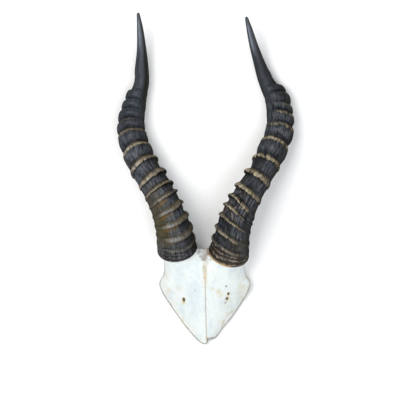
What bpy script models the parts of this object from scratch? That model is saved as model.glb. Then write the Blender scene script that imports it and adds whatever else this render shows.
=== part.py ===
"""A blesbok's skull plate with its two ringed horns, lying on its back.

Units are metres. +X is to the right as the forehead is looked at, +Y runs from the nose
end of the plate towards the horn tips, and +Z is up, out of the forehead. Left and right
in the names are the sides as they are seen, not the animal's own.
The flat face where the skull was sawn through lies on the ground, and so does the
back of each horn. The origin is on the ground at the middle of the object's length.
"""

import math

import bmesh
import bpy
import numpy as np
from mathutils import Matrix, Vector

# Driving dimensions
SEAT_GAP = 0.0003
SEAT_CLEARANCE = 0.0008
SEAT_CUT_DEPTH = 0.036
SEAT_CUT_FLARE = 0.004
SEAT_CUT_SIDES = 28
PEDICLE_INSET = 0.0014

# The horns' cross-section is a little deeper, front to back, than it is wide
HORN_DEPTH_RATIO = 1.06
HORN_SIDES = 22
HORN_TIP_RADIUS = 0.0009
LINE_STEPS = 12
# Faces that meet more sharply than this show an edge between them
SHARP_ANGLE = math.radians(50)

# How far each ring's valley lies below its crest, at these shares of the horn's length
RING_HEIGHT = [
    (0.0, 0.0020), (0.10, 0.0038), (0.30, 0.0048), (0.40, 0.0055), (0.52, 0.0055), (0.60, 0.0047),
    (0.69, 0.0041), (0.74, 0.0027), (0.80, 0.0),
]
# The direction in which the rings stand out most, from the front (0) to the outer side (90)
RING_FACING = [(0.0, -62.0), (0.27, -56.0), (0.44, 0.0), (0.58, 58.0), (0.75, 70.0)]
# Share of that height at the side where the rings stand out least, and how soon it rises
LEAST_PROMINENCE = 0.10
PROMINENCE_POWER = 0.6
# Share of the gap to the next crest, and share of the valley's depth there: thin lips
# near the base, round cushions along the middle, and even lobes towards the tip
LIP_PROFILE = [(0.02, 0.02), (0.16, 0.22), (0.36, 1.0), (0.93, 0.84)]
CUSHION_PROFILE = [(0.0, 0.06), (0.14, 0.36), (0.30, 1.0), (0.60, 0.14)]
LOBE_PROFILE = [(0.0, 0.0), (0.24, 0.26), (0.42, 1.0), (0.66, 0.24)]
# Share of the horn's length up to which each of them runs
LIPS_END = 0.39
CUSHIONS_END = 0.56
# The last crest falls to the smooth tip over this length
LAST_SHOULDER = 0.0060
# The horn starts inside the skull, and its smooth base ends this far below the first ring
START_STATION = -0.016
BASE_COLLAR = 0.011
BASE_COLLAR_DEPTH = 0.25
SMOOTH_TIP_ROWS = 10
TIP_ROW_POWER = 0.9
# Half the stretch of a horn's line that its direction is read over
TANGENT_REACH = 0.004

# Each horn's line: x, y, z and radius at the crests, from inside the skull to the tip
LEFT_LINE = [
    (-0.0338, -0.1060, 0.0160, 0.0262),
    (-0.0362, -0.0918, 0.0280, 0.0260),
    (-0.0400, -0.0660, 0.0440, 0.0247),
    (-0.0492, -0.0375, 0.0520, 0.0224),
    (-0.0640, -0.0080, 0.0490, 0.0214),
    (-0.0806, 0.0185, 0.0405, 0.0210),
    (-0.0922, 0.0450, 0.0292, 0.0195),
    (-0.0966, 0.0710, 0.0204, 0.0181),
    (-0.0908, 0.1010, 0.0150, 0.0146),
    (-0.0866, 0.1150, 0.0153, 0.0125),
    (-0.0832, 0.1300, 0.0160, 0.0108),
    (-0.0824, 0.1640, 0.0222, 0.0067),
    (-0.0846, 0.1950, 0.0300, 0.0041),
    (-0.0871, 0.2150, 0.0362, 0.0012),
]
RIGHT_LINE = [
    (0.0270, -0.1112, 0.0160, 0.0268),
    (0.0307, -0.0978, 0.0280, 0.0266),
    (0.0352, -0.0690, 0.0440, 0.0243),
    (0.0436, -0.0430, 0.0520, 0.0227),
    (0.0574, -0.0160, 0.0490, 0.0205),
    (0.0728, 0.0080, 0.0415, 0.0196),
    (0.0887, 0.0380, 0.0295, 0.0194),
    (0.0978, 0.0640, 0.0210, 0.0186),
    (0.0971, 0.0900, 0.0162, 0.0171),
    (0.0932, 0.1060, 0.0155, 0.0161),
    (0.0836, 0.1210, 0.0152, 0.0121),
    (0.0774, 0.1330, 0.0168, 0.0099),
    (0.0725, 0.1450, 0.0190, 0.0079),
    (0.0640, 0.1710, 0.0250, 0.0058),
    (0.0575, 0.1950, 0.0310, 0.0038),
    (0.0535, 0.2105, 0.0352, 0.0012),
]

# Each ring: distance of its middle from the horn's base along the line, how far its
# front is swung towards the tip, and how far its outer side is
LEFT_RINGS = [
    (0.0124, -0.0012, -0.0005),
    (0.0272, -0.0028, -0.0012),
    (0.0415, 0.0003, -0.0020),
    (0.0568, -0.0001, -0.0030),
    (0.0712, 0.0004, -0.0034),
    (0.0835, 0.0024, -0.0026),
    (0.1002, 0.0001, -0.0020),
    (0.1216, 0.0022, -0.0024),
    (0.1444, 0.0036, -0.0013),
    (0.1686, 0.0040, 0.0004),
    (0.1839, 0.0048, -0.0024),
    (0.1975, 0.0045, -0.0015),
    (0.2115, 0.0040, -0.0015),
    (0.2255, 0.0038, -0.0010),
]
RIGHT_RINGS = [
    (0.0125, 0.0022, -0.0065),
    (0.0258, 0.0043, -0.0085),
    (0.0427, 0.0054, -0.0068),
    (0.0567, 0.0027, -0.0060),
    (0.0662, 0.0024, -0.0080),
    (0.0859, -0.0012, -0.0034),
    (0.1092, -0.0018, -0.0010),
    (0.1342, 0.0018, 0.0005),
    (0.1603, 0.0058, -0.0004),
    (0.1876, 0.0014, -0.0020),
    (0.2040, 0.0040, -0.0040),
    (0.2150, 0.0048, -0.0045),
    (0.2295, 0.0050, -0.0045),
    (0.2405, 0.0045, -0.0040),
]

# The planes that the horns stand on: a point on each plane and the way it faces
LEFT_SEAT = ((-0.0362, -0.0918, 0.0280), (-0.126, 0.778, 0.616))
RIGHT_SEAT = ((0.0307, -0.0978, 0.0280), (0.185, 0.766, 0.616))

# The plate's edges seen from the front: y and distance from the midline, nose end first
LEFT_EDGE = [
    (-0.2163, 0.0012), (-0.2131, 0.0074), (-0.2051, 0.0153), (-0.1912, 0.0273),
    (-0.1724, 0.0412), (-0.1540, 0.0532), (-0.1464, 0.0573), (-0.1365, 0.0598),
    (-0.1265, 0.0548), (-0.1148, 0.0532), (-0.1025, 0.0540), (-0.0915, 0.0585),
]
RIGHT_EDGE = [
    (-0.2146, 0.0030), (-0.2118, 0.0038), (-0.2103, 0.0044), (-0.2100, 0.0090),
    (-0.2088, 0.0134), (-0.1942, 0.0244), (-0.1773, 0.0382), (-0.1595, 0.0502), (-0.1465, 0.0572),
    (-0.1355, 0.0595), (-0.1265, 0.0540), (-0.1148, 0.0512), (-0.1060, 0.0505),
    (-0.0960, 0.0535),
]
# The plate's back edge from right to left: x and y
BACK_EDGE = [
    (0.0485, -0.0855), (0.0330, -0.0805), (0.0170, -0.0845), (0.0085, -0.0900),
    (0.0000, -0.0910), (-0.0085, -0.0915), (-0.0170, -0.0840), (-0.0370, -0.0775),
    (-0.0535, -0.0815),
]
PLATE_MIDDLE = (0.0, -0.1250)
OUTLINE_POINTS = 72
OUTLINE_STEPS = 8
PLATE_RINGS = 12
# The rings crowd a little towards the plate's edge, where it curves most
PLATE_RING_POWER = 0.85

# The forehead along the midline: y and height above the saw cut
FOREHEAD = [
    (-0.2170, 0.0056), (-0.1900, 0.0160), (-0.1600, 0.0275), (-0.1350, 0.0370),
    (-0.1180, 0.0420), (-0.1080, 0.0415), (-0.0980, 0.0370), (-0.0900, 0.0290),
]
EDGE_HEIGHT = [(-0.2170, 0.0030), (-0.1650, 0.0036), (-0.1400, 0.0125), (-0.1150, 0.0140)]
# The forehead's curve runs this far past the plate's edge, where the saw cut it off
EDGE_OVERRUN = 0.0012
# How squarely the forehead's cross-section falls to its edges: 1 is a roof, 4 a flat top
FOREHEAD_POWER = [(-0.2170, 1.8), (-0.1650, 2.0), (-0.1350, 2.6), (-0.0900, 3.0)]
# Where the plate widens to the back it keeps the cross-section that it has here
LAST_NARROW_Y = -0.1148
PEDICLE_BLEND = 0.0070
PEDICLE_STEEPNESS = 6.0

# Hollows open at the saw cut: middle x, middle y, and half sizes along x, y and z
HOLLOWS = {
    "brain_cavity": (0.0, -0.1200, 0.0300, 0.0225, 0.0310),
    "left_orbit": (-0.0560, -0.1410, 0.0200, 0.0190, 0.0105),
    "right_orbit": (0.0560, -0.1410, 0.0200, 0.0190, 0.0105),
    "left_nasal_sinus": (-0.0110, -0.1720, 0.0070, 0.0165, 0.0072),
    "right_nasal_sinus": (0.0110, -0.1720, 0.0070, 0.0165, 0.0072),
    "left_frontal_sinus": (-0.0400, -0.0975, 0.0095, 0.0100, 0.0090),
    "right_frontal_sinus": (0.0360, -0.1005, 0.0095, 0.0100, 0.0090),
}
HOLLOW_SIDES = 20
HOLLOW_ROWS = 11
# Holes through which vessels came out above the orbits: x, y, radius
FORAMINA = [(-0.0278, -0.1578, 0.0021), (0.0293, -0.1572, 0.0020), (0.0312, -0.1508, 0.0014)]
FORAMEN_DEPTH = 0.0060
FORAMEN_SIDES = 8
FORAMEN_TAPER = 0.7

BONE = ("bone", (0.86, 0.84, 0.78, 1.0), 0.55)
HORN = ("horn", (0.035, 0.033, 0.034, 1.0), 0.45)


def clear_scene():
    """Empties the scene that the script was started in."""
    for obj in list(bpy.data.objects):
        bpy.data.objects.remove(obj)


def material(spec):
    """A plain Principled material from a name, a colour and a roughness."""
    name, colour, roughness = spec
    made = bpy.data.materials.new(name)
    made.use_nodes = True
    shader = made.node_tree.nodes["Principled BSDF"]
    shader.inputs["Base Color"].default_value = colour
    shader.inputs["Roughness"].default_value = roughness
    shader.inputs["Metallic"].default_value = 0.0
    return made


def between(table, at):
    """Reads a table of (place, value) pairs at any place, in straight steps."""
    places = [row[0] for row in table]
    values = [row[1] for row in table]
    return float(np.interp(at, places, values))


def spline(points, per_span, closed=False):
    """Points on a smooth Catmull-Rom curve through the given ones."""
    rows = [np.array(p, float) for p in points]
    if closed:
        rows = [rows[-1], *rows, rows[0], rows[1]]
    else:
        rows = [2 * rows[0] - rows[1], *rows, 2 * rows[-1] - rows[-2]]
    made = []
    for a, b, c, d in zip(rows, rows[1:], rows[2:], rows[3:]):
        for step in range(per_span):
            t = step / per_span
            made.append(
                0.5 * (2 * b + (c - a) * t + (2 * a - 5 * b + 4 * c - d) * t**2
                       + (3 * b - a - 3 * c + d) * t**3)
            )
    if not closed:
        made.append(rows[-2])
    return np.array(made)


class HornLine:
    """The curved axis of a horn, read by distance from the seat it stands on."""

    def __init__(self, line, seat, side):
        """Takes the line's points, the seat and the side, -1 for left and 1 for right."""
        self.side = side
        self.rows = spline(line, LINE_STEPS)
        steps = np.linalg.norm(np.diff(self.rows[:, :3], axis=0), axis=1)
        run = np.concatenate([[0.0], np.cumsum(steps)])
        seat_row = np.argmin(np.linalg.norm(self.rows[:, :3] - np.array(seat[0]), axis=1))
        self.run = run - run[seat_row]
        self.length = self.run[-1]

    def at(self, distance):
        """The point, radius, tangent, front direction and outer direction there."""
        row = [np.interp(distance, self.run, self.rows[:, i]) for i in range(4)]
        near = distance - TANGENT_REACH
        far = distance + TANGENT_REACH
        behind = [np.interp(near, self.run, self.rows[:, i]) for i in range(3)]
        ahead = [np.interp(far, self.run, self.rows[:, i]) for i in range(3)]
        tangent = (Vector(ahead) - Vector(behind)).normalized()
        front = (Vector((0, 0, 1)) - tangent * tangent.z).normalized()
        outer = tangent.cross(front) * self.side
        return Vector(row[:3]), row[3], tangent, front, outer


def ring_rows(rings, length):
    """Rows along a horn: (station, front swing, outer swing, depth share in the valley)."""
    station, front_swing, outer_swing = rings[0]
    rows = [
        (START_STATION, 0.0, 0.0, 0.0),
        (station - BASE_COLLAR, front_swing / 2, outer_swing, BASE_COLLAR_DEPTH),
    ]
    for here, after in zip(rings, rings[1:]):
        for share, depth in ring_profile(here[0] / length):
            blend = [h + (a - h) * share for h, a in zip(here, after)]
            rows.append((*blend, depth))
    last, front_swing, outer_swing = rings[-1]
    rows.append((last, front_swing, outer_swing, 0.0))
    start = last + LAST_SHOULDER
    for i in range(SMOOTH_TIP_ROWS + 1):
        share = i / SMOOTH_TIP_ROWS
        station = start + (length - start) * share**TIP_ROW_POWER
        left = (1 - share) ** 2
        rows.append((station, front_swing * left, outer_swing * left, 1.0))
    return rows


def ring_profile(share):
    """The profile of the rings that far along a horn."""
    if share < LIPS_END:
        return LIP_PROFILE
    return CUSHION_PROFILE if share < CUSHIONS_END else LOBE_PROFILE


def prominence(angle, station, length):
    """How far the rings stand out at this angle: 1 where they face, near 0 opposite."""
    facing = math.radians(between(RING_FACING, station / length))
    faced = (1 + math.cos(angle - facing)) / 2
    return LEAST_PROMINENCE + (1 - LEAST_PROMINENCE) * faced**PROMINENCE_POWER


def build_horn(name, line, rings, seat, side, finish):
    """Makes one horn as a closed solid that stands on its seat plane."""
    axis = HornLine(line, seat, side)
    mesh = bmesh.new()
    loops = []
    for station, front_swing, outer_swing, depth_share in ring_rows(rings, axis.length):
        loop = []
        for k in range(HORN_SIDES):
            angle = 2 * math.pi * k / HORN_SIDES
            here = station + front_swing * math.cos(angle) + outer_swing * math.sin(angle)
            here = min(here, axis.length)
            centre, radius, _, front, outer = axis.at(here)
            share = max(here, 0.0) / axis.length
            depth = depth_share * between(RING_HEIGHT, share)
            radius -= depth * prominence(angle, here, axis.length)
            deep = 1 + (HORN_DEPTH_RATIO - 1) * (1 - share)
            radius = max(radius, HORN_TIP_RADIUS)
            offset = front * (math.cos(angle) * deep) + outer * math.sin(angle)
            loop.append(mesh.verts.new(centre + offset * radius))
        loops.append(loop)
    for low, high in zip(loops, loops[1:]):
        for k in range(HORN_SIDES):
            j = (k + 1) % HORN_SIDES
            mesh.faces.new((low[k], low[j], high[j], high[k]))
    mesh.faces.new(loops[-1])
    stand_on_seat(mesh, seat)
    rest_on_ground(mesh)
    return finished(mesh, name, finish)


def stand_on_seat(mesh, seat):
    """Cuts the horn off at its seat plane, a hair above the bone, and closes it."""
    point, normal = Vector(seat[0]), Vector(seat[1]).normalized()
    cut = bmesh.ops.bisect_plane(
        mesh,
        geom=mesh.verts[:] + mesh.edges[:] + mesh.faces[:],
        dist=1e-6,
        plane_co=point + normal * SEAT_GAP / 2,
        plane_no=normal,
        clear_inner=True,
    )
    rim = [e for e in cut["geom_cut"] if isinstance(e, bmesh.types.BMEdge)]
    bmesh.ops.edgeloop_fill(mesh, edges=rim)


def rest_on_ground(mesh):
    """Lays whatever would reach below the ground on it."""
    for vert in mesh.verts:
        vert.co.z = max(vert.co.z, 0.0)


def finished(mesh, name, finish):
    """Turns a bmesh into a smooth-shaded object of that name and material."""
    bmesh.ops.recalc_face_normals(mesh, faces=mesh.faces[:])
    bmesh.ops.triangulate(mesh, faces=mesh.faces[:])
    data = bpy.data.meshes.new(name)
    mesh.to_mesh(data)
    mesh.free()
    obj = bpy.data.objects.new(name, data)
    bpy.context.scene.collection.objects.link(obj)
    data.materials.append(finish)
    data.shade_smooth()
    data.set_sharp_from_angle(angle=SHARP_ANGLE)
    return obj


def smooth_max(a, b, blend):
    """The larger of two heights, with a fillet of about this size where they meet."""
    return 0.5 * (a + b + math.sqrt((a - b) ** 2 + blend**2))


def pedicle_height(x, y, seat, radius):
    """Height of the stump that a horn stands on, before its seat is cut."""
    middle, normal = Vector(seat[0]), Vector(seat[1]).normalized()
    across = abs((x - middle.x) - normal.x * (y - middle.y))
    bulge = math.sqrt(max(1 - (across / radius) ** 2, 0.0)) * radius
    slope = math.hypot(normal.y, normal.z)
    lean_y, lean_z = normal.y / slope, normal.z / slope
    crown_y = middle.y - lean_z * bulge
    crown_z = middle.z + lean_y * bulge - PEDICLE_STEEPNESS * max(across - radius, 0.0)
    return crown_z - max(crown_y - y, 0.0) * lean_z / lean_y


def forehead_height(x, y):
    """Height of the skull's outer surface above the saw cut."""
    middle = between(FOREHEAD, y)
    edge = between(EDGE_HEIGHT, y)
    reach = between(LEFT_EDGE, min(y, LAST_NARROW_Y)) + EDGE_OVERRUN
    share = min(abs(x) / reach, 1.0)
    height = edge + (middle - edge) * (1 - share ** between(FOREHEAD_POWER, y))
    for line, seat in ((LEFT_LINE, LEFT_SEAT), (RIGHT_LINE, RIGHT_SEAT)):
        stump = pedicle_height(x, y, seat, line[1][3] - PEDICLE_INSET)
        height = smooth_max(height, stump, PEDICLE_BLEND)
    return height


def outline():
    """The plate's outline as evenly spaced points on a smooth closed curve."""
    right = [(x, y) for y, x in RIGHT_EDGE]
    left = [(-x, y) for y, x in reversed(LEFT_EDGE)]
    curve = spline([*right, *BACK_EDGE, *left], OUTLINE_STEPS, closed=True)
    loop = np.vstack([curve, curve[:1]])
    run = np.concatenate([[0.0], np.cumsum(np.linalg.norm(np.diff(loop, axis=0), axis=1))])
    at = np.linspace(0.0, run[-1], OUTLINE_POINTS, endpoint=False)
    return np.stack([np.interp(at, run, loop[:, 0]), np.interp(at, run, loop[:, 1])], axis=1)


def build_plate_body(finish):
    """Makes the plate as a closed solid: the skull's outer surface over a flat saw cut."""
    mesh = bmesh.new()
    middle = np.array(PLATE_MIDDLE)
    loops = []
    for ring in range(1, PLATE_RINGS + 1):
        share = (ring / PLATE_RINGS) ** PLATE_RING_POWER
        loop = []
        for point in outline():
            x, y = middle + (point - middle) * share
            loop.append(mesh.verts.new((x, y, forehead_height(x, y))))
        loops.append(loop)
    crown = mesh.verts.new((*middle, forehead_height(*middle)))
    floor = [mesh.verts.new((v.co.x, v.co.y, 0.0)) for v in loops[-1]]
    loops.append(floor)
    for k in range(OUTLINE_POINTS):
        j = (k + 1) % OUTLINE_POINTS
        mesh.faces.new((crown, loops[0][k], loops[0][j]))
        for inner, wider in zip(loops, loops[1:]):
            mesh.faces.new((inner[k], wider[k], wider[j], inner[j]))
    mesh.faces.new(list(reversed(floor)))
    return finished(mesh, "skull_plate", finish)


def as_cutter(mesh, name):
    """Makes a bmesh a hidden helper that booleans can cut with."""
    bmesh.ops.recalc_face_normals(mesh, faces=mesh.faces[:])
    data = bpy.data.meshes.new(name)
    mesh.to_mesh(data)
    mesh.free()
    obj = bpy.data.objects.new(name, data)
    bpy.context.scene.collection.objects.link(obj)
    obj.hide_render = True
    obj.display_type = "WIRE"
    return obj


def hollow_cutter(name, spec):
    """An egg-shaped cutter whose middle lies on the saw cut."""
    x, y, half_x, half_y, half_z = spec
    mesh = bmesh.new()
    bmesh.ops.create_uvsphere(mesh, u_segments=HOLLOW_SIDES, v_segments=HOLLOW_ROWS, radius=1.0)
    place = Matrix.Translation((x, y, 0.0)) @ Matrix.Diagonal((half_x, half_y, half_z, 1.0))
    bmesh.ops.transform(mesh, matrix=place, verts=mesh.verts[:])
    return as_cutter(mesh, f"{name}_cutter")


def seat_cutter(name, line, seat):
    """A flaring drum that clears the bone from where a horn's base stands."""
    point, normal = Vector(seat[0]), Vector(seat[1]).normalized()
    radius = line[1][3] * HORN_DEPTH_RATIO + SEAT_CLEARANCE
    mesh = bmesh.new()
    bmesh.ops.create_cone(
        mesh, cap_ends=True, segments=SEAT_CUT_SIDES, radius1=radius,
        radius2=radius + SEAT_CUT_FLARE, depth=SEAT_CUT_DEPTH,
    )
    turn = normal.to_track_quat("Z", "Y").to_matrix().to_4x4()
    middle = point + normal * (SEAT_CUT_DEPTH - SEAT_GAP) / 2
    bmesh.ops.transform(mesh, matrix=Matrix.Translation(middle) @ turn, verts=mesh.verts[:])
    return as_cutter(mesh, f"{name}_seat_cutter")


def foramen_cutter(index, spec):
    """A small blind hole that follows the forehead's slope."""
    x, y, radius = spec
    top = forehead_height(x, y)
    mesh = bmesh.new()
    bmesh.ops.create_cone(
        mesh, cap_ends=True, segments=FORAMEN_SIDES, radius1=radius * FORAMEN_TAPER,
        radius2=radius, depth=2 * FORAMEN_DEPTH,
    )
    bmesh.ops.transform(mesh, matrix=Matrix.Translation((x, y, top)), verts=mesh.verts[:])
    return as_cutter(mesh, f"foramen_cutter_{index}")


def build_plate(finish):
    """Makes the skull plate: its body less the horn seats, the hollows and the foramina."""
    plate = build_plate_body(finish)
    cutters = [
        seat_cutter("left", LEFT_LINE, LEFT_SEAT),
        seat_cutter("right", RIGHT_LINE, RIGHT_SEAT),
    ]
    cutters += [hollow_cutter(name, spec) for name, spec in HOLLOWS.items()]
    cutters += [foramen_cutter(index, spec) for index, spec in enumerate(FORAMINA)]
    for cutter in cutters:
        cut = plate.modifiers.new(cutter.name, "BOOLEAN")
        cut.operation = "DIFFERENCE"
        cut.solver = "EXACT"
        cut.object = cutter
    return plate


def main():
    """Builds the plate and both horns."""
    clear_scene()
    bone, horn = material(BONE), material(HORN)
    build_plate(bone)
    build_horn("horn_left", LEFT_LINE, LEFT_RINGS, LEFT_SEAT, -1, horn)
    build_horn("horn_right", RIGHT_LINE, RIGHT_RINGS, RIGHT_SEAT, 1, horn)


main()
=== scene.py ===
"""Dresses a blesbok's skull plate and its two ringed horns in bone and horn.

The plate lies on its sawn face with the backs of the horns on the ground, and the camera
looks straight down at the forehead. Lengths are in metres. Left and right are the sides as
they are seen from above, with the horn tips pointing away.
"""
import logging
import math
from dataclasses import dataclass
from enum import Enum
from functools import partial, reduce

import bmesh
import bpy
import numpy as np
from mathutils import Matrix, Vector, noise


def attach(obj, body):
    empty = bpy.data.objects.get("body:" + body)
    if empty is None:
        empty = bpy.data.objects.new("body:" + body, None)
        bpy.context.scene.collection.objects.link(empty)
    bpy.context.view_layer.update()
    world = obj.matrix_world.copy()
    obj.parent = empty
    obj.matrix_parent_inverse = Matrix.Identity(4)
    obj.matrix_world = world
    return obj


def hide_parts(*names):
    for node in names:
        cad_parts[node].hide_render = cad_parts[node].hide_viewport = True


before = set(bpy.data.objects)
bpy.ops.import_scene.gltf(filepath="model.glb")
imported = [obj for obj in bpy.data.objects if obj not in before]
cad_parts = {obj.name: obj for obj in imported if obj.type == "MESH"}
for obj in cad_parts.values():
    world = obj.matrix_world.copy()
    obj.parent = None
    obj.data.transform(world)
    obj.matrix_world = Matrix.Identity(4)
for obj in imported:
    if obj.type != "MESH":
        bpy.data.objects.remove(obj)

logging.basicConfig(level=logging.INFO, format="%(message)s")
log = logging.getLogger("skull")

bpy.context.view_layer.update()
MM = 0.001

Socket = bpy.types.NodeSocket
Feed = Socket | float | int | tuple | None
Colour = tuple[float, float, float, float]
Point = tuple[float, float, float]
Seat = tuple[Point, Point]
Pairs = tuple[tuple[float, float], ...]
Spots = tuple[tuple[float, ...], ...]


class Side(Enum):
    """Which horn, by the way its outer side points along X."""

    LEFT = -1.0
    RIGHT = 1.0


class Nodes:
    """Adds nodes to one tree and links them as they are made."""

    def __init__(self, tree: bpy.types.NodeTree) -> None:
        """Starts on a tree."""
        self.tree = tree

    def add(self, kind: str, feeds: dict[str | int, Feed] | None = None,
            **settings: object) -> bpy.types.Node:
        """Adds a node.

        Args:
            kind: The node's type name.
            feeds: A link or a value for each of its inputs, by name or number.
            settings: Values of the node's own properties.

        Returns:
            The node.
        """
        node = self.tree.nodes.new(kind)
        for name, value in settings.items():
            setattr(node, name, value)
        for key, value in (feeds or {}).items():
            self.feed(node.inputs[key], value)
        return node

    def feed(self, socket: Socket, value: Feed) -> None:
        """Links a socket to another one or sets its value.

        Args:
            socket: The socket that is fed.
            value: Another node's output, a plain value, or None to leave the socket alone.
        """
        if isinstance(value, Socket):
            self.tree.links.new(value, socket)
        elif value is not None:
            socket.default_value = value

    def math(self, operation: str, *values: Feed) -> Socket:
        """Adds a Math node and returns its result."""
        return self.add("ShaderNodeMath", dict(enumerate(values)), operation=operation).outputs[0]

    def total(self, *terms: Feed) -> Feed:
        """Adds up any number of values."""
        return reduce(partial(self.math, "ADD"), terms)

    def product(self, *factors: Feed) -> Feed:
        """Multiplies any number of values."""
        return reduce(partial(self.math, "MULTIPLY"), factors)

    def minus(self, a: Feed, b: Feed) -> Socket:
        """Takes the second value from the first."""
        return self.math("SUBTRACT", a, b)

    def over(self, a: Feed, b: Feed) -> Socket:
        """Divides the first value by the second."""
        return self.math("DIVIDE", a, b)

    def least(self, a: Feed, b: Feed) -> Socket:
        """The smaller of two values."""
        return self.math("MINIMUM", a, b)

    def most(self, a: Feed, b: Feed) -> Socket:
        """The larger of two values."""
        return self.math("MAXIMUM", a, b)

    def rest(self, value: Feed) -> Socket:
        """What a value leaves of 1."""
        return self.minus(1.0, value)

    def centred(self, value: Feed) -> Socket:
        """A noise, moved to lie round 0."""
        return self.minus(value, 0.5)

    def towards(self, start: Feed, end: Feed, share: Feed) -> Socket:
        """Goes from one value towards another by a share of the way."""
        return self.total(start, self.product(share, self.minus(end, start)))

    def arc(self, value: Feed) -> Socket:
        """Height of a round arch of radius 1, this far from its middle."""
        return self.math("SQRT", self.rest(self.product(value, value)))

    def vector(self, operation: str, a: Feed, b: Feed = None, scale: Feed = None) -> Socket:
        """Adds a Vector Math node and returns its result, a number for a dot product."""
        node = self.add("ShaderNodeVectorMath", {0: a, 1: b, 3: scale}, operation=operation)
        return node.outputs["Value" if operation == "DOT_PRODUCT" else "Vector"]

    def split(self, value: Feed) -> tuple[Socket, ...]:
        """Splits a vector in its three numbers."""
        return tuple(self.add("ShaderNodeSeparateXYZ", {0: value}).outputs)

    def join(self, x: Feed, y: Feed, z: Feed) -> Socket:
        """Makes a vector of three numbers."""
        return self.add("ShaderNodeCombineXYZ", {0: x, 1: y, 2: z}).outputs[0]

    def step(self, value: Feed, low: float, high: float, start: float = 0.0, end: float = 1.0) -> Socket:
        """Goes smoothly from start to end as the value goes from low to high."""
        feeds = {"Value": value, "From Min": low, "From Max": high, "To Min": start, "To Max": end}
        return self.add("ShaderNodeMapRange", feeds, interpolation_type="SMOOTHSTEP").outputs[0]

    def fall(self, value: Feed, low: float, high: float, end: float = 0.0) -> Socket:
        """Goes smoothly from 1 down to end as the value goes from low to high."""
        return self.step(value, low, high, 1.0, end)

    def between(self, value: Feed, low: float, full: float, drop: float, gone: float) -> Socket:
        """Rises from 0 to 1 as the value goes from low to full, and falls back from drop to gone."""
        return self.product(self.step(value, low, full), self.fall(value, drop, gone))

    def curve(self, value: Feed, points: Pairs) -> Socket:
        """Reads a curve through given points whose values lie between 0 and 1.

        Args:
            value: Where to read the curve, from 0 to 1.
            points: The curve's points.

        Returns:
            The curve's height there.
        """
        node = self.add("ShaderNodeFloatCurve", {"Value": value})
        line = node.mapping.curves[0]
        while len(line.points) < len(points):
            line.points.new(0.5, 0.5)
        for point, place in zip(line.points, points):
            point.location = place
            point.handle_type = "AUTO_CLAMPED"
        node.mapping.update()
        return node.outputs[0]

    def noise(self, place: Feed, scale: float, detail: float = 2.0, seed: Feed = 0.0,
              roughness: float = 0.5) -> Socket:
        """Adds a noise that lies between 0 and 1 and mostly near a half."""
        feeds = {"Vector": place, "W": seed, "Scale": scale, "Detail": detail, "Roughness": roughness}
        return self.add("ShaderNodeTexNoise", feeds, noise_dimensions="4D").outputs[0]

    def blend(self, factor: Feed, a: Feed, b: Feed) -> Socket:
        """Mixes two colours."""
        return self.add("ShaderNodeMix", {0: factor, 6: a, 7: b}, data_type="RGBA").outputs[2]

    def attribute(self, name: str, output: str = "Fac") -> Socket:
        """Reads one of a piece's own attributes in a material."""
        return self.add("ShaderNodeAttribute", attribute_name=name).outputs[output]


class Paint:
    """Lays colours over each other in a new material."""

    def __init__(self, name: str, ground: Feed) -> None:
        """Makes the material, all in its ground colour.

        Args:
            name: The material's name.
            ground: The colour that the others are laid on.
        """
        self.material = bpy.data.materials.new(name)
        self.material.use_nodes = True
        self.n = Nodes(self.material.node_tree)
        self.shader = self.material.node_tree.nodes["Principled BSDF"]
        self.skin = ground

    def cover(self, tint: Feed, *strengths: Feed) -> None:
        """Lays a colour over the skin, as strongly as the product of some values."""
        self.skin = self.n.blend(self.n.product(*strengths), self.skin, tint)

    def complete(self, roughness: Feed, relief: Feed = None, strength: float = 1.0,
                 depth: float = 0.0) -> bpy.types.Material:
        """Gives the shader its colour and roughness, and a fine relief where there is one.

        Args:
            roughness: How rough the surface is.
            relief: Height of the relief, from 0 to 1.
            strength: How strongly the relief shows.
            depth: How far it goes from 0 to 1.

        Returns:
            The material.
        """
        feeds = {"Base Color": self.skin, "Roughness": roughness}
        if relief is not None:
            bump = self.n.add("ShaderNodeBump", {"Height": relief, "Strength": strength, "Distance": depth})
            feeds["Normal"] = bump.outputs[0]
        for name, value in feeds.items():
            self.n.feed(self.shader.inputs[name], value)
        return self.material


def colour(red: float, green: float, blue: float) -> Colour:
    """An opaque colour."""
    return (red, green, blue, 1.0)


def table(pairs: Pairs, at: np.ndarray) -> np.ndarray:
    """Reads a table of (place, value) pairs at any places, in straight steps."""
    return np.interp(at, [row[0] for row in pairs], [row[1] for row in pairs])


def ease(value: np.ndarray, low: float, high: float) -> np.ndarray:
    """Goes smoothly from 0 to 1 as the value goes from low to high."""
    t = np.clip((value - low) / (high - low), 0.0, 1.0)
    return t * t * (3 - 2 * t)


def smooth_curve(points: list[tuple[float, ...]], per_span: int, closed: bool = False) -> np.ndarray:
    """Reads a smooth Catmull-Rom curve through points.

    Args:
        points: The points, with any number of values each.
        per_span: How many steps are taken between two of them.
        closed: Whether the curve joins its own start.

    Returns:
        One row for each step.
    """
    rows = [np.array(p, float) for p in points]
    if closed:
        rows = [rows[-1], *rows, rows[0], rows[1]]
    else:
        rows = [2 * rows[0] - rows[1], *rows, 2 * rows[-1] - rows[-2]]
    t = (np.arange(per_span) / per_span)[:, None]
    made = [
        0.5 * (2 * b + (c - a) * t + (2 * a - 5 * b + 4 * c - d) * t**2 + (3 * b - a - 3 * c + d) * t**3)
        for a, b, c, d in zip(rows, rows[1:], rows[2:], rows[3:])
    ]
    if not closed:
        made.append(rows[-2][None])
    return np.vstack(made)


def link(name: str, data: bpy.types.ID) -> bpy.types.Object:
    """Puts a mesh, camera or light in the scene as an object at the origin.

    Args:
        name: The object's name.
        data: What it shows.

    Returns:
        The object.
    """
    made = bpy.data.objects.new(name, data)
    bpy.context.scene.collection.objects.link(made)
    return made


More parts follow.
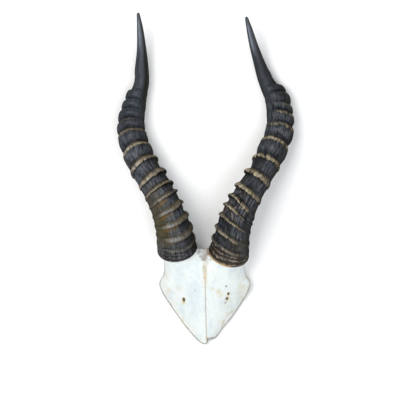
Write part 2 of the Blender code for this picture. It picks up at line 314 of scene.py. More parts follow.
def bake(source: bpy.types.Object, name: str) -> bpy.types.Object:
    """Turns what an object's modifiers make of it into a plain piece.

    Args:
        source: The object, which is removed.
        name: The piece's name.

    Returns:
        The piece, with no modifiers and its faces pointing out.
    """
    graph = bpy.context.evaluated_depsgraph_get()
    mesh = bpy.data.meshes.new_from_object(
        source.evaluated_get(graph), preserve_all_data_layers=True, depsgraph=graph
    )
    bpy.data.objects.remove(source)
    shell = bmesh.new()
    shell.from_mesh(mesh)
    bmesh.ops.recalc_face_normals(shell, faces=shell.faces[:])
    shell.to_mesh(mesh)
    shell.free()
    mesh.name = name
    return link(name, mesh)


def dress(piece: bpy.types.Object, node: str) -> None:
    """Lets a finished piece stand for its CAD node and reports it.

    Args:
        piece: The piece.
        node: The CAD node's name.
    """
    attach(piece, "root")
    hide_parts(node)
    log.info("%s: %d faces stand for %s", piece.name, len(piece.data.polygons), node)


@dataclass(frozen=True)
class HornFinish:
    """The look of one horn: blue-black horn with tan crests, brown towards its base."""

    name: str
    seed: float
    band_strength: Pairs
    band_width: Pairs
    band_brown: Pairs
    band_waviness: float
    band_gaps: float
    brown_reach: float
    brown_strength: float
    rust_and_highlight_strength: float
    layer_strength: float
    hair_strength: float
    patch_strength: float
    streak_strength: float
    line_strength: float
    tip_turn: float
    smooth_from: float
    slate: Colour = colour(0.0055, 0.0068, 0.0090)
    pale_slate: Colour = colour(0.064, 0.074, 0.091)
    # Pale fibre streaks, and the painted highlights on the lowest crests
    chalk_and_highlight: Colour = colour(0.25, 0.25, 0.26)
    # Dark hairs, patches and growth lines of the horn, and the painted shade in its grooves
    soot_and_shade: Colour = colour(0.003, 0.003, 0.003)
    shaded: Colour = colour(0.007, 0.007, 0.003)
    tan: Colour = colour(0.43, 0.375, 0.275)
    toffee: Colour = colour(0.105, 0.082, 0.045)
    rust: Colour = colour(0.130, 0.074, 0.021)
    gold: Colour = colour(0.50, 0.33, 0.14)
    flake_pale: Colour = colour(0.33, 0.265, 0.205)
    flake_dark: Colour = colour(0.022, 0.017, 0.013)
    pinkish: Colour = colour(0.150, 0.138, 0.135)
    olive_brown: Colour = colour(0.052, 0.044, 0.018)
    gleam: Colour = colour(0.21, 0.25, 0.32)
    hair_wander: float = 0.06
    fibre_wander: float = 0.10
    groove_shade_strength: float = 0.75
    chip_strength: float = 0.75
    first_shade: float = 0.80
    last_shade: float = 0.40
    roughness: float = 0.36
    tip_polish: float = 0.16
    shine: float = 0.15
    edge_shine: float = 0.02
    tip_shine: float = 0.30
    refraction: float = 1.54
    fibre_bump: float = 0.00030

    def material(self, side: Side) -> bpy.types.Material:
        """Makes the material of the horn on one side."""
        return HornPaint(self, side).paint()


class HornPaint(Paint):
    """Lays a horn's colours over its slate, by the attributes that the horn's mesh carries.

    Its methods share x and y, the cosine and sine of the angle from the front, with y
    positive on the outer side; ring, the ring's number with its fraction; phase, how far on
    from the last crest; share, the share of the horn's length; swell, how much the ring
    stands out there; and the noises of the fibres, of fine hairs and of broad patches.
    """

    def __init__(self, look: HornFinish, side: Side) -> None:
        """Reads the attributes and makes the noises.

        Args:
            look: The horn's colours and strengths.
            side: Which horn it is.
        """
        super().__init__(look.name, look.slate)
        n = self.n
        self.look = look
        self.side = side.value
        self.x, self.y, _ = n.split(n.attribute("around", "Vector"))
        self.ring, self.share, self.swell = map(n.attribute, ("ring", "share", "swell"))
        self.fibre = self.grain(n.product(self.share, 1.8), 11.0, 3.0, 0.0, 0.70)
        self.hair = self.grain(n.product(self.share, 1.2), 34.0, 2.0, 3.0, 0.6)
        self.patch = self.grain(n.product(self.ring, 0.35), 1.7, 3.0, 5.0)
        wave = self.grain(n.product(self.ring, 0.7), 6.0, 2.0, 21.0)
        wander = n.total(
            n.product(n.centred(self.hair), look.hair_wander),
            n.product(n.centred(self.fibre), look.fibre_wander),
            n.product(n.centred(wave), look.band_waviness),
        )
        self.phase = n.math("FRACT", n.total(self.ring, wander))

    def grain(self, along: Feed, scale: float, detail: float, shift: float, roughness: float = 0.5) -> Socket:
        """A noise round the horn and along it, whose seed is shifted from the horn's own."""
        place = self.n.join(self.x, self.y, along)
        return self.n.noise(place, scale, detail, self.look.seed + shift, roughness)

    def paint(self) -> bpy.types.Material:
        """Lays every layer in turn.

        Returns:
            The horn's material.
        """
        n, look, share = self.n, self.look, self.share
        sideways = n.product(self.y, -self.side, n.step(share, 0.56, 0.70, 0.36, look.tip_turn))
        turned = n.total(self.x, sideways, n.step(share, 0.56, 0.76, 0.0, -0.34))
        shade = n.fall(turned, -0.15, 0.62)
        self.bare_horn()
        self.growth_lines()
        self.cover(look.shaded, shade, look.first_shade)
        self.grooves()
        self.bands()
        self.rust_and_highlights()
        self.chips()
        self.flakes()
        self.cover(look.shaded, shade, look.last_shade)
        self.gloss()
        polish = n.step(share, 0.70, 0.90, 0.0, -look.tip_polish)
        dry = n.total(n.step(self.fibre, 0.2, 0.8, look.roughness - 0.10, look.roughness + 0.14), polish)
        relief = n.total(n.product(self.fibre, 0.7), n.product(self.hair, 0.45))
        return self.complete(dry, relief, depth=look.fibre_bump)

    def bare_horn(self) -> None:
        """Colours the horn itself: slate with pale fibres, brown near the base, pale at the tip."""
        n, look, share = self.n, self.look, self.share
        smooth = n.step(share, look.smooth_from, look.smooth_from + 0.12, 0.0, 0.65)
        self.cover(look.pale_slate, n.towards(n.step(self.fibre, 0.40, 0.64), 0.30, smooth))
        self.cover(look.soot_and_shade, n.fall(self.hair, 0.36, 0.50), n.rest(smooth), look.hair_strength)
        self.cover(look.soot_and_shade, n.step(self.patch, 0.42, 0.68), look.patch_strength)
        worn = n.step(self.fibre, 0.30, 0.65, 0.45, 0.95)
        self.cover(look.pale_slate, n.step(share, 0.82, 0.94, 0.0, 0.8), worn)
        off_gleam = n.math("ABSOLUTE", n.total(n.product(self.y, self.side), 0.34))
        self.cover(
            look.gleam, n.step(off_gleam, 0.0, 0.34, 0.9, 0.0), n.between(share, 0.84, 0.90, 0.955, 0.985),
            n.step(self.hair, 0.35, 0.60, 0.4, 1.0),
        )
        fading = n.step(share, look.smooth_from - 0.03, look.smooth_from + 0.12, look.streak_strength, 0.0)
        self.cover(look.chalk_and_highlight, n.step(self.hair, 0.55, 0.66), n.fall(self.patch, 0.38, 0.62, 0.2), fading)
        ragged = n.total(
            n.product(self.patch, 0.45), n.product(self.y, 0.40), n.product(n.centred(self.fibre), 0.16)
        )
        brown = n.step(share, look.brown_reach * 0.4, look.brown_reach, look.brown_strength, 0.0)
        self.cover(look.olive_brown, brown, n.step(share, 0.02, 0.09, 0.12, 1.0), n.step(ragged, 0.02, 0.60))

    def growth_lines(self) -> None:
        """Adds the pale and dark growth lines."""
        n, look = self.n, self.look
        growth = n.attribute("growth")
        self.cover(look.pinkish, n.step(growth, 0.15, 0.90), look.line_strength)
        self.cover(look.soot_and_shade, n.fall(growth, -0.90, -0.15), look.line_strength)

    def grooves(self) -> None:
        """Paints shade into the notches beside the crests, and on the far side of every ring."""
        n, soot_and_shade, phase, share = self.n, self.look.soot_and_shade, self.phase, self.share
        low = n.fall(share, 0.56, 0.68, 0.25)
        under = n.step(share, 0.20, 0.34, 0.80, 0.95)
        strength = self.look.groove_shade_strength
        self.cover(soot_and_shade, n.between(phase, 0.22, 0.31, 0.33, 0.50), self.swell, low, strength)
        self.cover(soot_and_shade, n.between(phase, 0.89, 0.96, 0.985, 1.0), self.swell, low, under)
        far_side_shade = n.step(self.y, -0.65, 0.15, 0.8, 0.0)
        self.cover(soot_and_shade, n.between(phase, 0.55, 0.92, 0.985, 1.0), far_side_shade, n.fall(share, 0.40, 0.60))

    def bands(self) -> None:
        """Lays the tan bands over the rings' tipward shoulders."""
        n, look, share, y = self.n, self.look, self.share, self.y
        blot = self.grain(n.product(self.ring, 0.9), 3.2, 2.0, 9.0)
        led = n.math("FRACT", n.total(self.phase, n.step(share, 0.30, 0.52, 0.0, 0.11)))
        edge = n.over(led, n.curve(share, look.band_width))
        inner = n.towards(n.fall(y, 0.35, 0.85), 1.0, n.step(share, 0.19, 0.26))
        upper = n.product(n.step(share, 0.50, 0.60), n.fall(y, -0.60, 0.15))
        band = n.product(
            n.step(led, 0.0, 0.02), n.fall(edge, 0.70, 1.45), n.curve(share, look.band_strength),
            n.step(blot, look.band_gaps, look.band_gaps + 0.08), n.step(self.swell, 0.30, 0.62, 0.15, 1.0),
            inner, n.rest(upper),
        )
        # Paler tan on the side towards the light and browner on the far side: partly the bands' own colour,
        # partly painted light and shade
        pale = n.product(
            n.between(edge, 0.0, 0.22, 0.45, 0.95), n.step(self.fibre, 0.42, 0.58, 0.05, 1.0),
            n.step(blot, 0.40, 0.60, 0.45, 1.0), n.fall(n.product(y, self.side), -0.5, 0.8, 0.35),
            n.rest(n.curve(share, look.band_brown)),
        )
        self.cover(n.blend(pale, look.toffee, look.tan), band)

    def rust_and_highlights(self) -> None:
        """Adds rust-brown below the lowest crests, and painted highlights on them as pale streaks."""
        n, look, y = self.n, self.look, self.y
        low = n.product(
            n.step(self.share, 0.05, 0.09), n.step(self.share, 0.19, 0.27, look.rust_and_highlight_strength, 0.0)
        )
        self.cover(
            look.rust, n.step(self.phase, 0.62, 0.90), n.step(y, -0.45, 0.0), n.fall(y, 0.38, 0.80, 0.12),
            low, n.step(self.patch, 0.30, 0.52, 0.25, 1.0), n.step(self.fibre, 0.25, 0.65, 0.75, 1.0),
        )
        # Painted highlights: pale streaks on the lowest crests' tipward shoulders, on the side towards the
        # light
        self.cover(
            look.chalk_and_highlight, n.between(self.phase, 0.04, 0.12, 0.18, 0.34), n.between(y, -0.50, 0.05, 0.35, 0.70),
            low, n.step(self.hair, 0.44, 0.60, 0.25, 1.0),
        )

    def chips(self) -> None:
        """Adds pale chips between the lower rings of a flaky horn."""
        n, look = self.n, self.look
        torn = self.grain(n.product(self.ring, 0.6), 5.5, 3.0, 14.0, 0.65)
        self.cover(
            n.blend(n.step(self.fibre, 0.42, 0.60), look.flake_dark, look.flake_pale),
            n.step(torn, 0.55, 0.64), n.between(self.share, 0.13, 0.17, 0.23, 0.28),
            n.step(self.y, 0.75, 0.35), look.layer_strength * look.chip_strength,
        )

    def flakes(self) -> None:
        """Colours the layers at the horn's base, and their golden lip."""
        n, look, fibre = self.n, self.look, self.fibre
        layer = n.product(
            n.attribute("layer"), n.step(fibre, 0.38, 0.56, 0.10, 1.0),
            n.step(self.hair, 0.30, 0.55, 0.45, 1.0),
            n.step(self.grain(self.ring, 2.6, 2.0, 18.0), 0.36, 0.60, 0.2, 1.0),
        )
        flake = n.blend(layer, look.flake_dark, look.flake_pale)
        self.cover(flake, n.attribute("flaky"), look.layer_strength)
        self.cover(look.gold, n.attribute("rim"), look.layer_strength**2, n.step(fibre, 0.34, 0.52, 0.3, 1.0))

    def gloss(self) -> None:
        """Makes the horn duller at grazing angles and glossier towards its tip.

        An export drops the link, so the socket's own value is the horn's usual gloss.
        """
        n, look = self.n, self.look
        grazing = n.add("ShaderNodeLayerWeight").outputs["Facing"]
        worn = n.step(self.share, 0.80, 0.92, look.shine, look.tip_shine)
        level = self.shader.inputs["Specular IOR Level"]
        level.default_value = look.shine
        n.feed(level, n.product(worn, n.fall(grazing, 0.10, 0.70, look.edge_shine)))
        self.shader.inputs["IOR"].default_value = look.refraction


@dataclass(frozen=True)
class HornForm:
    """What both horns share: how rings stand out and where, and the mesh's fineness."""

    sides: int = 166
    rows: int = 590
    tip_rows_share: float = 0.20
    tip_rows_power: float = 1.3
    last_gaps_in_tip: float = 8.5
    last_shoulder: float = 0.42
    depth_ratio: float = 1.06
    seat_gap: float = 0.0003
    tallest_ring: float = 0.0056
    least_prominence: float = 0.08
    prominence_power: float = 0.6
    lobe_power: float = 2.6
    raggedness: float = 0.13
    growth_pace: float = 25.0
    growth_warp: float = 20.0
    layer_pace: float = 4.6
    layer_warp: float = 1.7
    rim_radius: float = 0.0016
    tip_rounding: float = 0.0022
    tip_blunting: float = 0.004
    lips_up_to: float = 0.33
    cushions_from: float = 0.45
    lobes_from: float = 0.50
    lobes_by: float = 0.60
    lobes_end: float = 0.72
    ring_height: Pairs = (
        (0.0, 0.36), (0.10, 0.68), (0.30, 0.87), (0.40, 1.0), (0.52, 1.0), (0.60, 0.86), (0.69, 0.75),
        (0.74, 0.48), (0.80, 0.0), (1.0, 0.0),
    )
    ring_facing: Pairs = (
        (0.0, 0.156), (0.27, 0.189), (0.44, 0.50), (0.58, 0.822), (0.75, 0.889), (1.0, 0.889),
    )
    lip: Pairs = (
        (0.0, 0.93), (0.06, 1.0), (0.13, 0.92), (0.21, 0.66), (0.29, 0.28), (0.35, 0.06), (0.41, 0.0),
        (0.56, 0.02), (0.72, 0.08), (0.86, 0.15), (0.925, 0.18), (0.945, 0.08), (0.962, 0.22),
        (0.982, 0.66), (1.0, 0.93),
    )
    cushion: Pairs = (
        (0.0, 0.96), (0.05, 0.94), (0.12, 0.72), (0.19, 0.38), (0.25, 0.09), (0.30, 0.0), (0.35, 0.14),
        (0.45, 0.54), (0.58, 0.84), (0.72, 0.98), (0.86, 0.97), (0.935, 0.91), (0.960, 0.76), (0.980, 0.84),
        (1.0, 0.96),
    )
    lobe: Pairs = (
        (0.0, 1.0), (0.08, 0.99), (0.16, 0.93), (0.24, 0.76), (0.32, 0.44), (0.38, 0.12), (0.42, 0.0),
        (0.46, 0.14), (0.54, 0.48), (0.64, 0.76), (0.76, 0.93), (0.90, 1.0), (1.0, 1.0),
    )


class HornTree:
    """Builds the tree that turns a guide line and a table of rings into a ringed horn.

    The guide has the line's points first and one loose point for each ring after them, and
    carries the attributes radius and ring_place. The methods share x and y, the cosine and
    sine of the angle from the front, with y positive on the outer side; ring, the ring's
    number with its fraction; station, the distance along the line; and share, the share of
    its length.
    """

    INPUTS = {
        "Guide": "Geometry", "Rings": "Int", "First Ring": "Int", "Length": "Float", "Side": "Float",
        "Seat Point": "Vector", "Seat Normal": "Vector", "Striation Depth": "Float",
        "Growth Line Depth": "Float", "Flake Depth": "Float", "Ring Wander": "Float", "Seed": "Float",
        "Material": "Material",
    }

    def __init__(self, form: HornForm) -> None:
        """Makes the tree, its inputs and its output.

        Args:
            form: The horns' sizes and profiles.
        """
        self.form = form
        self.tree = bpy.data.node_groups.new("ringed_horn", "GeometryNodeTree")
        for name, kind in self.INPUTS.items():
            self.tree.interface.new_socket(name=name, in_out="INPUT", socket_type=f"NodeSocket{kind}")
        self.tree.interface.new_socket(name="Horn", in_out="OUTPUT", socket_type="NodeSocketGeometry")
        self.n = Nodes(self.tree)
        self.given = self.n.add("NodeGroupInput").outputs
        self.x, self.y, self.z = self.n.split(self.n.add("GeometryNodeInputPosition").outputs[0])

    def named(self, name: str, kind: str) -> Socket:
        """Reads an attribute of the guide or the tube."""
        return self.n.add("GeometryNodeInputNamedAttribute", {"Name": name}, data_type=kind).outputs[0]

    def grain(self, along: Feed, scale: float, detail: float, shift: float, roughness: float = 0.5) -> Socket:
        """A noise round the horn and along it, whose seed is shifted from the horn's own."""
        place = self.n.join(self.x, self.y, along)
        return self.n.noise(place, scale, detail, self.n.total(self.given["Seed"], shift), roughness)

    def build(self) -> bpy.types.NodeTree:
        """Lays a tube's rows along the guide's line and raises the rings on them.

        Returns:
            The tree.
        """
        n, form = self.n, self.form
        row = n.total(self.z, 0.5)
        ringed = 1.0 - form.tip_rows_share
        in_rings = n.product(n.least(n.over(row, ringed), 1.0), self.given["Rings"])
        in_tip = n.most(n.over(n.minus(row, ringed), form.tip_rows_share), 0.0)
        in_tip = n.math("POWER", in_tip, form.tip_rows_power)
        self.ring = n.total(in_rings, in_tip)
        self.measure()
        ragged = n.centred(self.grain(n.product(self.ring, 0.2), 12.0, 2.0, 40.0))
        past_last = n.least(n.product(in_tip, form.last_gaps_in_tip), form.last_shoulder)
        self.ring = n.total(in_rings, past_last, n.product(ragged, form.raggedness))
        sink, crest, swell = self.ring_relief()
        texture, painted = self.surface_relief(crest)
        painted |= {"ring": self.ring, "share": self.share, "swell": swell}
        self.shape(painted, self.on_line(n.minus(texture, sink)))
        return self.tree

    def measure(self) -> None:
        """Finds the station of each point between two rows of the table of rings, and its share."""
        n, given = self.n, self.given
        place = self.named("ring_place", "FLOAT_VECTOR")
        number = n.math("FLOOR", self.ring)
        rows = []
        for after in (0.0, 1.0):
            index = n.total(number, after, given["First Ring"])
            feeds = {"Geometry": given["Guide"], "Value": place, "Index": index}
            row = n.add("GeometryNodeSampleIndex", feeds, data_type="FLOAT_VECTOR", clamp=True)
            rows.append(row.outputs[0])
        part = n.math("FRACT", self.ring)
        mixed = n.add("ShaderNodeMix", {0: part, 4: rows[0], 5: rows[1]}, data_type="VECTOR").outputs[1]
        station, front_swing, outer_swing = n.split(mixed)
        roam = n.centred(self.grain(n.product(self.ring, 0.55), 2.0, 1.0, 0.0))
        station = n.total(
            station, n.product(front_swing, self.x), n.product(outer_swing, self.y),
            n.product(roam, given["Ring Wander"], n.least(self.ring, 1.0)),
        )
        self.station = n.least(n.most(station, 0.0), given["Length"])
        self.share = n.over(self.station, given["Length"])

    def ring_relief(self) -> tuple[Socket, Socket, Socket]:
        """Works out the rings' relief.

        Returns:
            How far the skin lies below the crests, the profile's height and the ring's strength.
        """
        n, form, share = self.n, self.form, self.share
        facing = n.product(n.centred(n.curve(share, form.ring_facing)), math.pi)
        faced = n.total(
            n.product(self.x, n.math("COSINE", facing)), n.product(self.y, n.math("SINE", facing))
        )
        narrowing = n.step(share, form.lobes_from, form.lobes_end, form.prominence_power, form.lobe_power)
        faced = n.math("POWER", n.over(n.total(faced, 1.0), 2.0), narrowing)
        prominence = n.total(form.least_prominence, n.product(faced, 1.0 - form.least_prominence))
        blot = self.grain(n.product(self.ring, 0.5), 2.4, 1.0, 20.0)
        swell = n.product(prominence, n.step(blot, 0.2, 0.8, 0.72, 1.22))
        phase = n.math("FRACT", self.ring)
        lipped = n.fall(share, form.lips_up_to, form.cushions_from)
        crest = n.towards(n.curve(phase, form.cushion), n.curve(phase, form.lip), lipped)
        crest = n.towards(crest, n.curve(phase, form.lobe), n.step(share, form.lobes_from, form.lobes_by))
        height = n.product(n.curve(share, form.ring_height), form.tallest_ring)
        sink = n.product(height, swell, n.rest(crest), n.step(self.ring, 0.25, 0.85))
        return sink, crest, swell

    def surface_relief(self, crest: Socket) -> tuple[Socket, dict[str, Socket]]:
        """Works out the fine relief: grooves along the horn, growth lines, and layers at the base.

        Args:
            crest: Height of the ring's profile.

        Returns:
            How far the skin stands out, and what the material reads: the layers' pale ends,
            where the horn flakes, its growth lines and its golden rim.
        """
        n, form, given, ring = self.n, self.form, self.given, self.ring
        streak = n.centred(self.grain(n.product(self.station, 6.0), 15.0, 2.0, 0.0, 0.6))
        grooves = n.product(
            streak, given["Striation Depth"], n.fall(crest, 0.55, 1.0, 0.55), n.fall(ring, 12.0, 16.0, 0.15)
        )
        warp = self.grain(n.product(ring, 0.3), 3.0, 3.0, 60.0)
        wavy = n.total(n.product(ring, form.growth_pace), n.product(warp, form.growth_warp))
        waves = n.math("SINE", wavy)
        uneven = n.step(self.grain(ring, 2.6, 2.0, 70.0), 0.35, 0.65, 0.25, 1.0)
        growth = n.product(waves, uneven, n.fall(ring, 1.2, 3.5, 0.5), n.fall(ring, 9.0, 13.0))
        torn = self.grain(n.product(ring, 0.5), 3.4, 5.0, 80.0, 0.70)
        layers = n.total(n.product(ring, form.layer_pace), n.product(torn, form.layer_warp))
        layer = n.math("FRACT", layers)
        flaky = n.fall(n.total(ring, n.product(torn, 0.9)), 1.15, 1.50)
        flakes = n.product(n.minus(0.5, layer), given["Flake Depth"], flaky)
        lip = n.total(ring, n.product(n.centred(torn), 0.35))
        inner_front = n.step(n.total(self.x, n.product(self.y, -0.8)), 0.60, 1.05)
        texture = n.total(grooves, n.product(growth, given["Growth Line Depth"]), flakes)
        return texture, {
            "layer": n.between(layer, 0.0, 0.10, 0.12, 0.50), "flaky": flaky, "growth": growth,
            "rim": n.product(n.fall(lip, 0.18, 0.34), inner_front),
        }

    def on_line(self, relief: Socket) -> Socket:
        """Places the tube's points round the guide's line.

        Args:
            relief: How far the skin stands out of the line's own radius.

        Returns:
            Each point's place.
        """
        n, form, given = self.n, self.form, self.given
        line = n.add("GeometryNodeMeshToCurve", {"Mesh": given["Guide"]}).outputs[0]
        feeds = {"Curves": line, "Value": self.named("radius", "FLOAT"), "Length": self.station}
        sample = n.add("GeometryNodeSampleCurve", feeds, mode="LENGTH").outputs
        tangent = n.vector("NORMALIZE", sample["Tangent"])
        up = (0.0, 0.0, 1.0)
        lean = n.vector("DOT_PRODUCT", tangent, up)
        front = n.vector("NORMALIZE", n.vector("SUBTRACT", up, n.vector("SCALE", tangent, scale=lean)))
        outer = n.vector("SCALE", n.vector("CROSS_PRODUCT", tangent, front), scale=given["Side"])

        rim = n.rest(n.least(n.product(self.ring, 10.0), 1.0))
        radius = n.minus(n.total(sample["Value"], relief), n.product(n.rest(n.arc(rim)), form.rim_radius))
        to_tip = n.over(n.minus(given["Length"], self.station), form.tip_rounding)
        to_tip = n.rest(n.least(n.total(to_tip, form.tip_blunting), 1.0))
        radius = n.product(radius, n.arc(to_tip))
        deep = n.total(1.0, n.product(form.depth_ratio - 1.0, n.rest(self.share)))
        across = n.vector(
            "ADD", n.vector("SCALE", front, scale=n.product(self.x, deep)),
            n.vector("SCALE", outer, scale=self.y),
        )
        place = n.vector("ADD", sample["Position"], n.vector("SCALE", across, scale=radius))
        x, y, z = n.split(self.on_seat(place, tangent))
        return n.join(x, y, n.most(z, 0.0))

    def on_seat(self, place: Socket, tangent: Socket) -> Socket:
        """Slides the horn's first rows along it until its end lies on the seat plane.

        Args:
            place: Each point's place.
            tangent: The way the line runs there.

        Returns:
            The new places.
        """
        n, normal = self.n, self.given["Seat Normal"]
        short = n.vector("DOT_PRODUCT", n.vector("SUBTRACT", self.given["Seat Point"], place), normal)
        short = n.over(short, n.vector("DOT_PRODUCT", tangent, normal))
        slide = n.product(n.total(short, self.form.seat_gap / 2), n.fall(self.ring, 0.0, 0.7))
        return n.vector("ADD", place, n.vector("SCALE", tangent, scale=slide))

    def shape(self, painted: dict[str, Socket], place: Socket) -> None:
        """Stores what the material reads on a tube, and moves the tube into the horn's shape.

        Args:
            painted: The attributes that the material reads.
            place: Each point's place.
        """
        n, form = self.n, self.form
        tube = {
            "Vertices": form.sides, "Side Segments": form.rows, "Fill Segments": 1,
            "Radius": 1.0, "Depth": 1.0,
        }
        horn = n.add("GeometryNodeMeshCylinder", tube, fill_type="TRIANGLE_FAN").outputs["Mesh"]
        vectors = {"around": n.join(self.x, self.y, 0.0), "place": place}
        for kind, values in (("FLOAT", painted), ("FLOAT_VECTOR", vectors)):
            for name, value in values.items():
                feeds = {"Geometry": horn, "Name": name, "Value": value}
                horn = n.add("GeometryNodeStoreNamedAttribute", feeds, data_type=kind).outputs[0]
        for step, feeds in (
            ("SetPosition", {"Position": self.named("place", "FLOAT_VECTOR")}),
            ("RemoveAttribute", {"Name": "place"}), ("SetShadeSmooth", {}), ("RealizeInstances", {}),
            ("SetMaterial", {"Material": self.given["Material"]}),
        ):
            horn = n.add(f"GeometryNode{step}", {0: horn, **feeds}).outputs[0]
        n.add("NodeGroupOutput", {0: horn})


@dataclass
class RingedHorn:
    """One horn, swept along its own line with its own rings."""

    name: str
    side: Side
    line: list[tuple[float, float, float, float]]
    rings: list[Point]
    seat: Seat
    finish: HornFinish
    striation_depth: float
    growth_line_depth: float
    flake_depth: float
    ring_wander: float = 0.0022
    steps_per_span: int = 12

    def guide(self) -> tuple[bpy.types.Object, float, int]:
        """Makes the guide: the horn's line from its seat, and a loose point for each ring.

        Returns:
            The guide, the line's length and the number of the first ring's point.
        """
        rows = smooth_curve(self.line, self.steps_per_span)[self.steps_per_span:]
        length = float(np.linalg.norm(np.diff(rows[:, :3], axis=0), axis=1).sum())
        places = [(0.0, 0.0, 0.0), *self.rings, (length, 0.0, 0.0)]
        points = rows[:, :3].tolist() + [(0.0, 0.0, 0.0)] * len(places)
        mesh = bpy.data.meshes.new(f"{self.name}_guide")
        mesh.from_pydata(points, [(k, k + 1) for k in range(len(rows) - 1)], [])
        radius = mesh.attributes.new("radius", "FLOAT", "POINT")
        radius.data.foreach_set("value", np.concatenate([rows[:, 3], np.zeros(len(places))]))
        place = mesh.attributes.new("ring_place", "FLOAT_VECTOR", "POINT")
        place.data.foreach_set("vector", np.vstack([np.zeros((len(rows), 3)), places]).ravel())
        return link(f"{self.name}_guide", mesh), length, len(rows)

    def build(self, tree: bpy.types.NodeTree) -> bpy.types.Object:
        """Makes the horn.

        Args:
            tree: The tree that both horns are made with.

        Returns:
            The finished piece.
        """
        guide, length, first = self.guide()
        values = {
            "Rings": len(self.rings), "First Ring": first, "Length": length, "Side": self.side.value,
            "Seat Point": self.seat[0], "Seat Normal": tuple(Vector(self.seat[1]).normalized()),
            "Striation Depth": self.striation_depth, "Growth Line Depth": self.growth_line_depth,
            "Flake Depth": self.flake_depth, "Ring Wander": self.ring_wander, "Seed": self.finish.seed,
            "Material": self.finish.material(self.side),
        }
        modifier = guide.modifiers.new("horn", "NODES")
        modifier.node_group = tree
        for item in tree.interface.items_tree:
            if item.in_out == "INPUT" and item.name in values:
                modifier[item.identifier] = values[item.name]
        piece = bake(guide, f"{self.name}_surface")
        dress(piece, self.name)
        return piece


@dataclass(frozen=True)
class BoneFinish:
    """Dry, near-white bone with cream stains, brown sutures and a faint grain."""

    name: str = "bone"
    white: Colour = colour(0.68, 0.722, 0.715)
    cool_tone_and_shade: Colour = colour(0.55, 0.625, 0.665)
    cream: Colour = colour(0.58, 0.54, 0.385)
    pit: Colour = colour(0.150, 0.115, 0.052)
    umber: Colour = colour(0.30, 0.19, 0.11)
    honey: Colour = colour(0.56, 0.45, 0.27)
    dirt_and_shade: Colour = colour(0.21, 0.165, 0.125)
    edge_shade: Colour = colour(0.22, 0.19, 0.15)
    roughness: float = 0.55
    grain_bump: float = 0.00012

    def material(self) -> bpy.types.Material:
        """Makes the bone's material, with its stains and painted shade from the piece's own attributes.

        Returns:
            The material.
        """
        paint = Paint(self.name, self.white)
        n = paint.n
        place = n.add("ShaderNodeTexCoord").outputs["Object"]
        x, y, z = n.split(place)
        streak = n.noise(n.join(x, n.product(y, 0.35), z), 260.0, 3.0, 2.0, 0.6)
        cloud = n.noise(n.join(n.product(x, 1.4), n.product(y, 0.7), z), 60.0, 4.0, 7.0, 0.6)
        speck = n.noise(place, 900.0, 2.0, 11.0, 0.7)
        fleck = n.noise(place, 420.0, 2.0, 17.0, 0.6)
        # Bluish patches at random, and painted shade in a band left of the midline
        paint.cover(self.cool_tone_and_shade, n.most(n.step(cloud, 0.42, 0.72), n.attribute("cool_tone_and_shade")))
        paint.cover(self.cream, n.step(streak, 0.52, 0.74, 0.0, 0.35))
        paint.cover(self.cream, n.attribute("stain"), n.step(streak, 0.38, 0.60, 0.12, 1.0))
        # Grey-brown: stains, painted shade where the bone slopes away between the horns and in the notch
        # beside the left horn, a painted shadow along the back edge, and pores of the saw cut darker the
        # deeper they are
        paint.cover(self.dirt_and_shade, n.attribute("grime_and_shade"), n.step(streak, 0.28, 0.60, 0.4, 1.0))
        paint.cover(self.cream, n.step(fleck, 0.60, 0.70), n.step(cloud, 0.40, 0.62, 0.1, 0.6))
        paint.cover(self.honey, n.attribute("honey"))
        # Painted shade along the plate's edges, strongest beside the nose
        paint.cover(self.edge_shade, n.attribute("rim"), n.step(streak, 0.28, 0.60, 0.55, 1.0))
        paint.cover(self.umber, n.attribute("seam"), n.step(speck, 0.25, 0.55, 0.5, 1.0))
        paint.cover(self.pit, n.attribute("pit"))
        dry = n.step(streak, 0.2, 0.8, self.roughness - 0.1, self.roughness + 0.12)
        relief = n.total(n.product(streak, 0.6), n.product(speck, 0.4))
        return paint.complete(dry, relief, strength=0.8, depth=self.grain_bump)


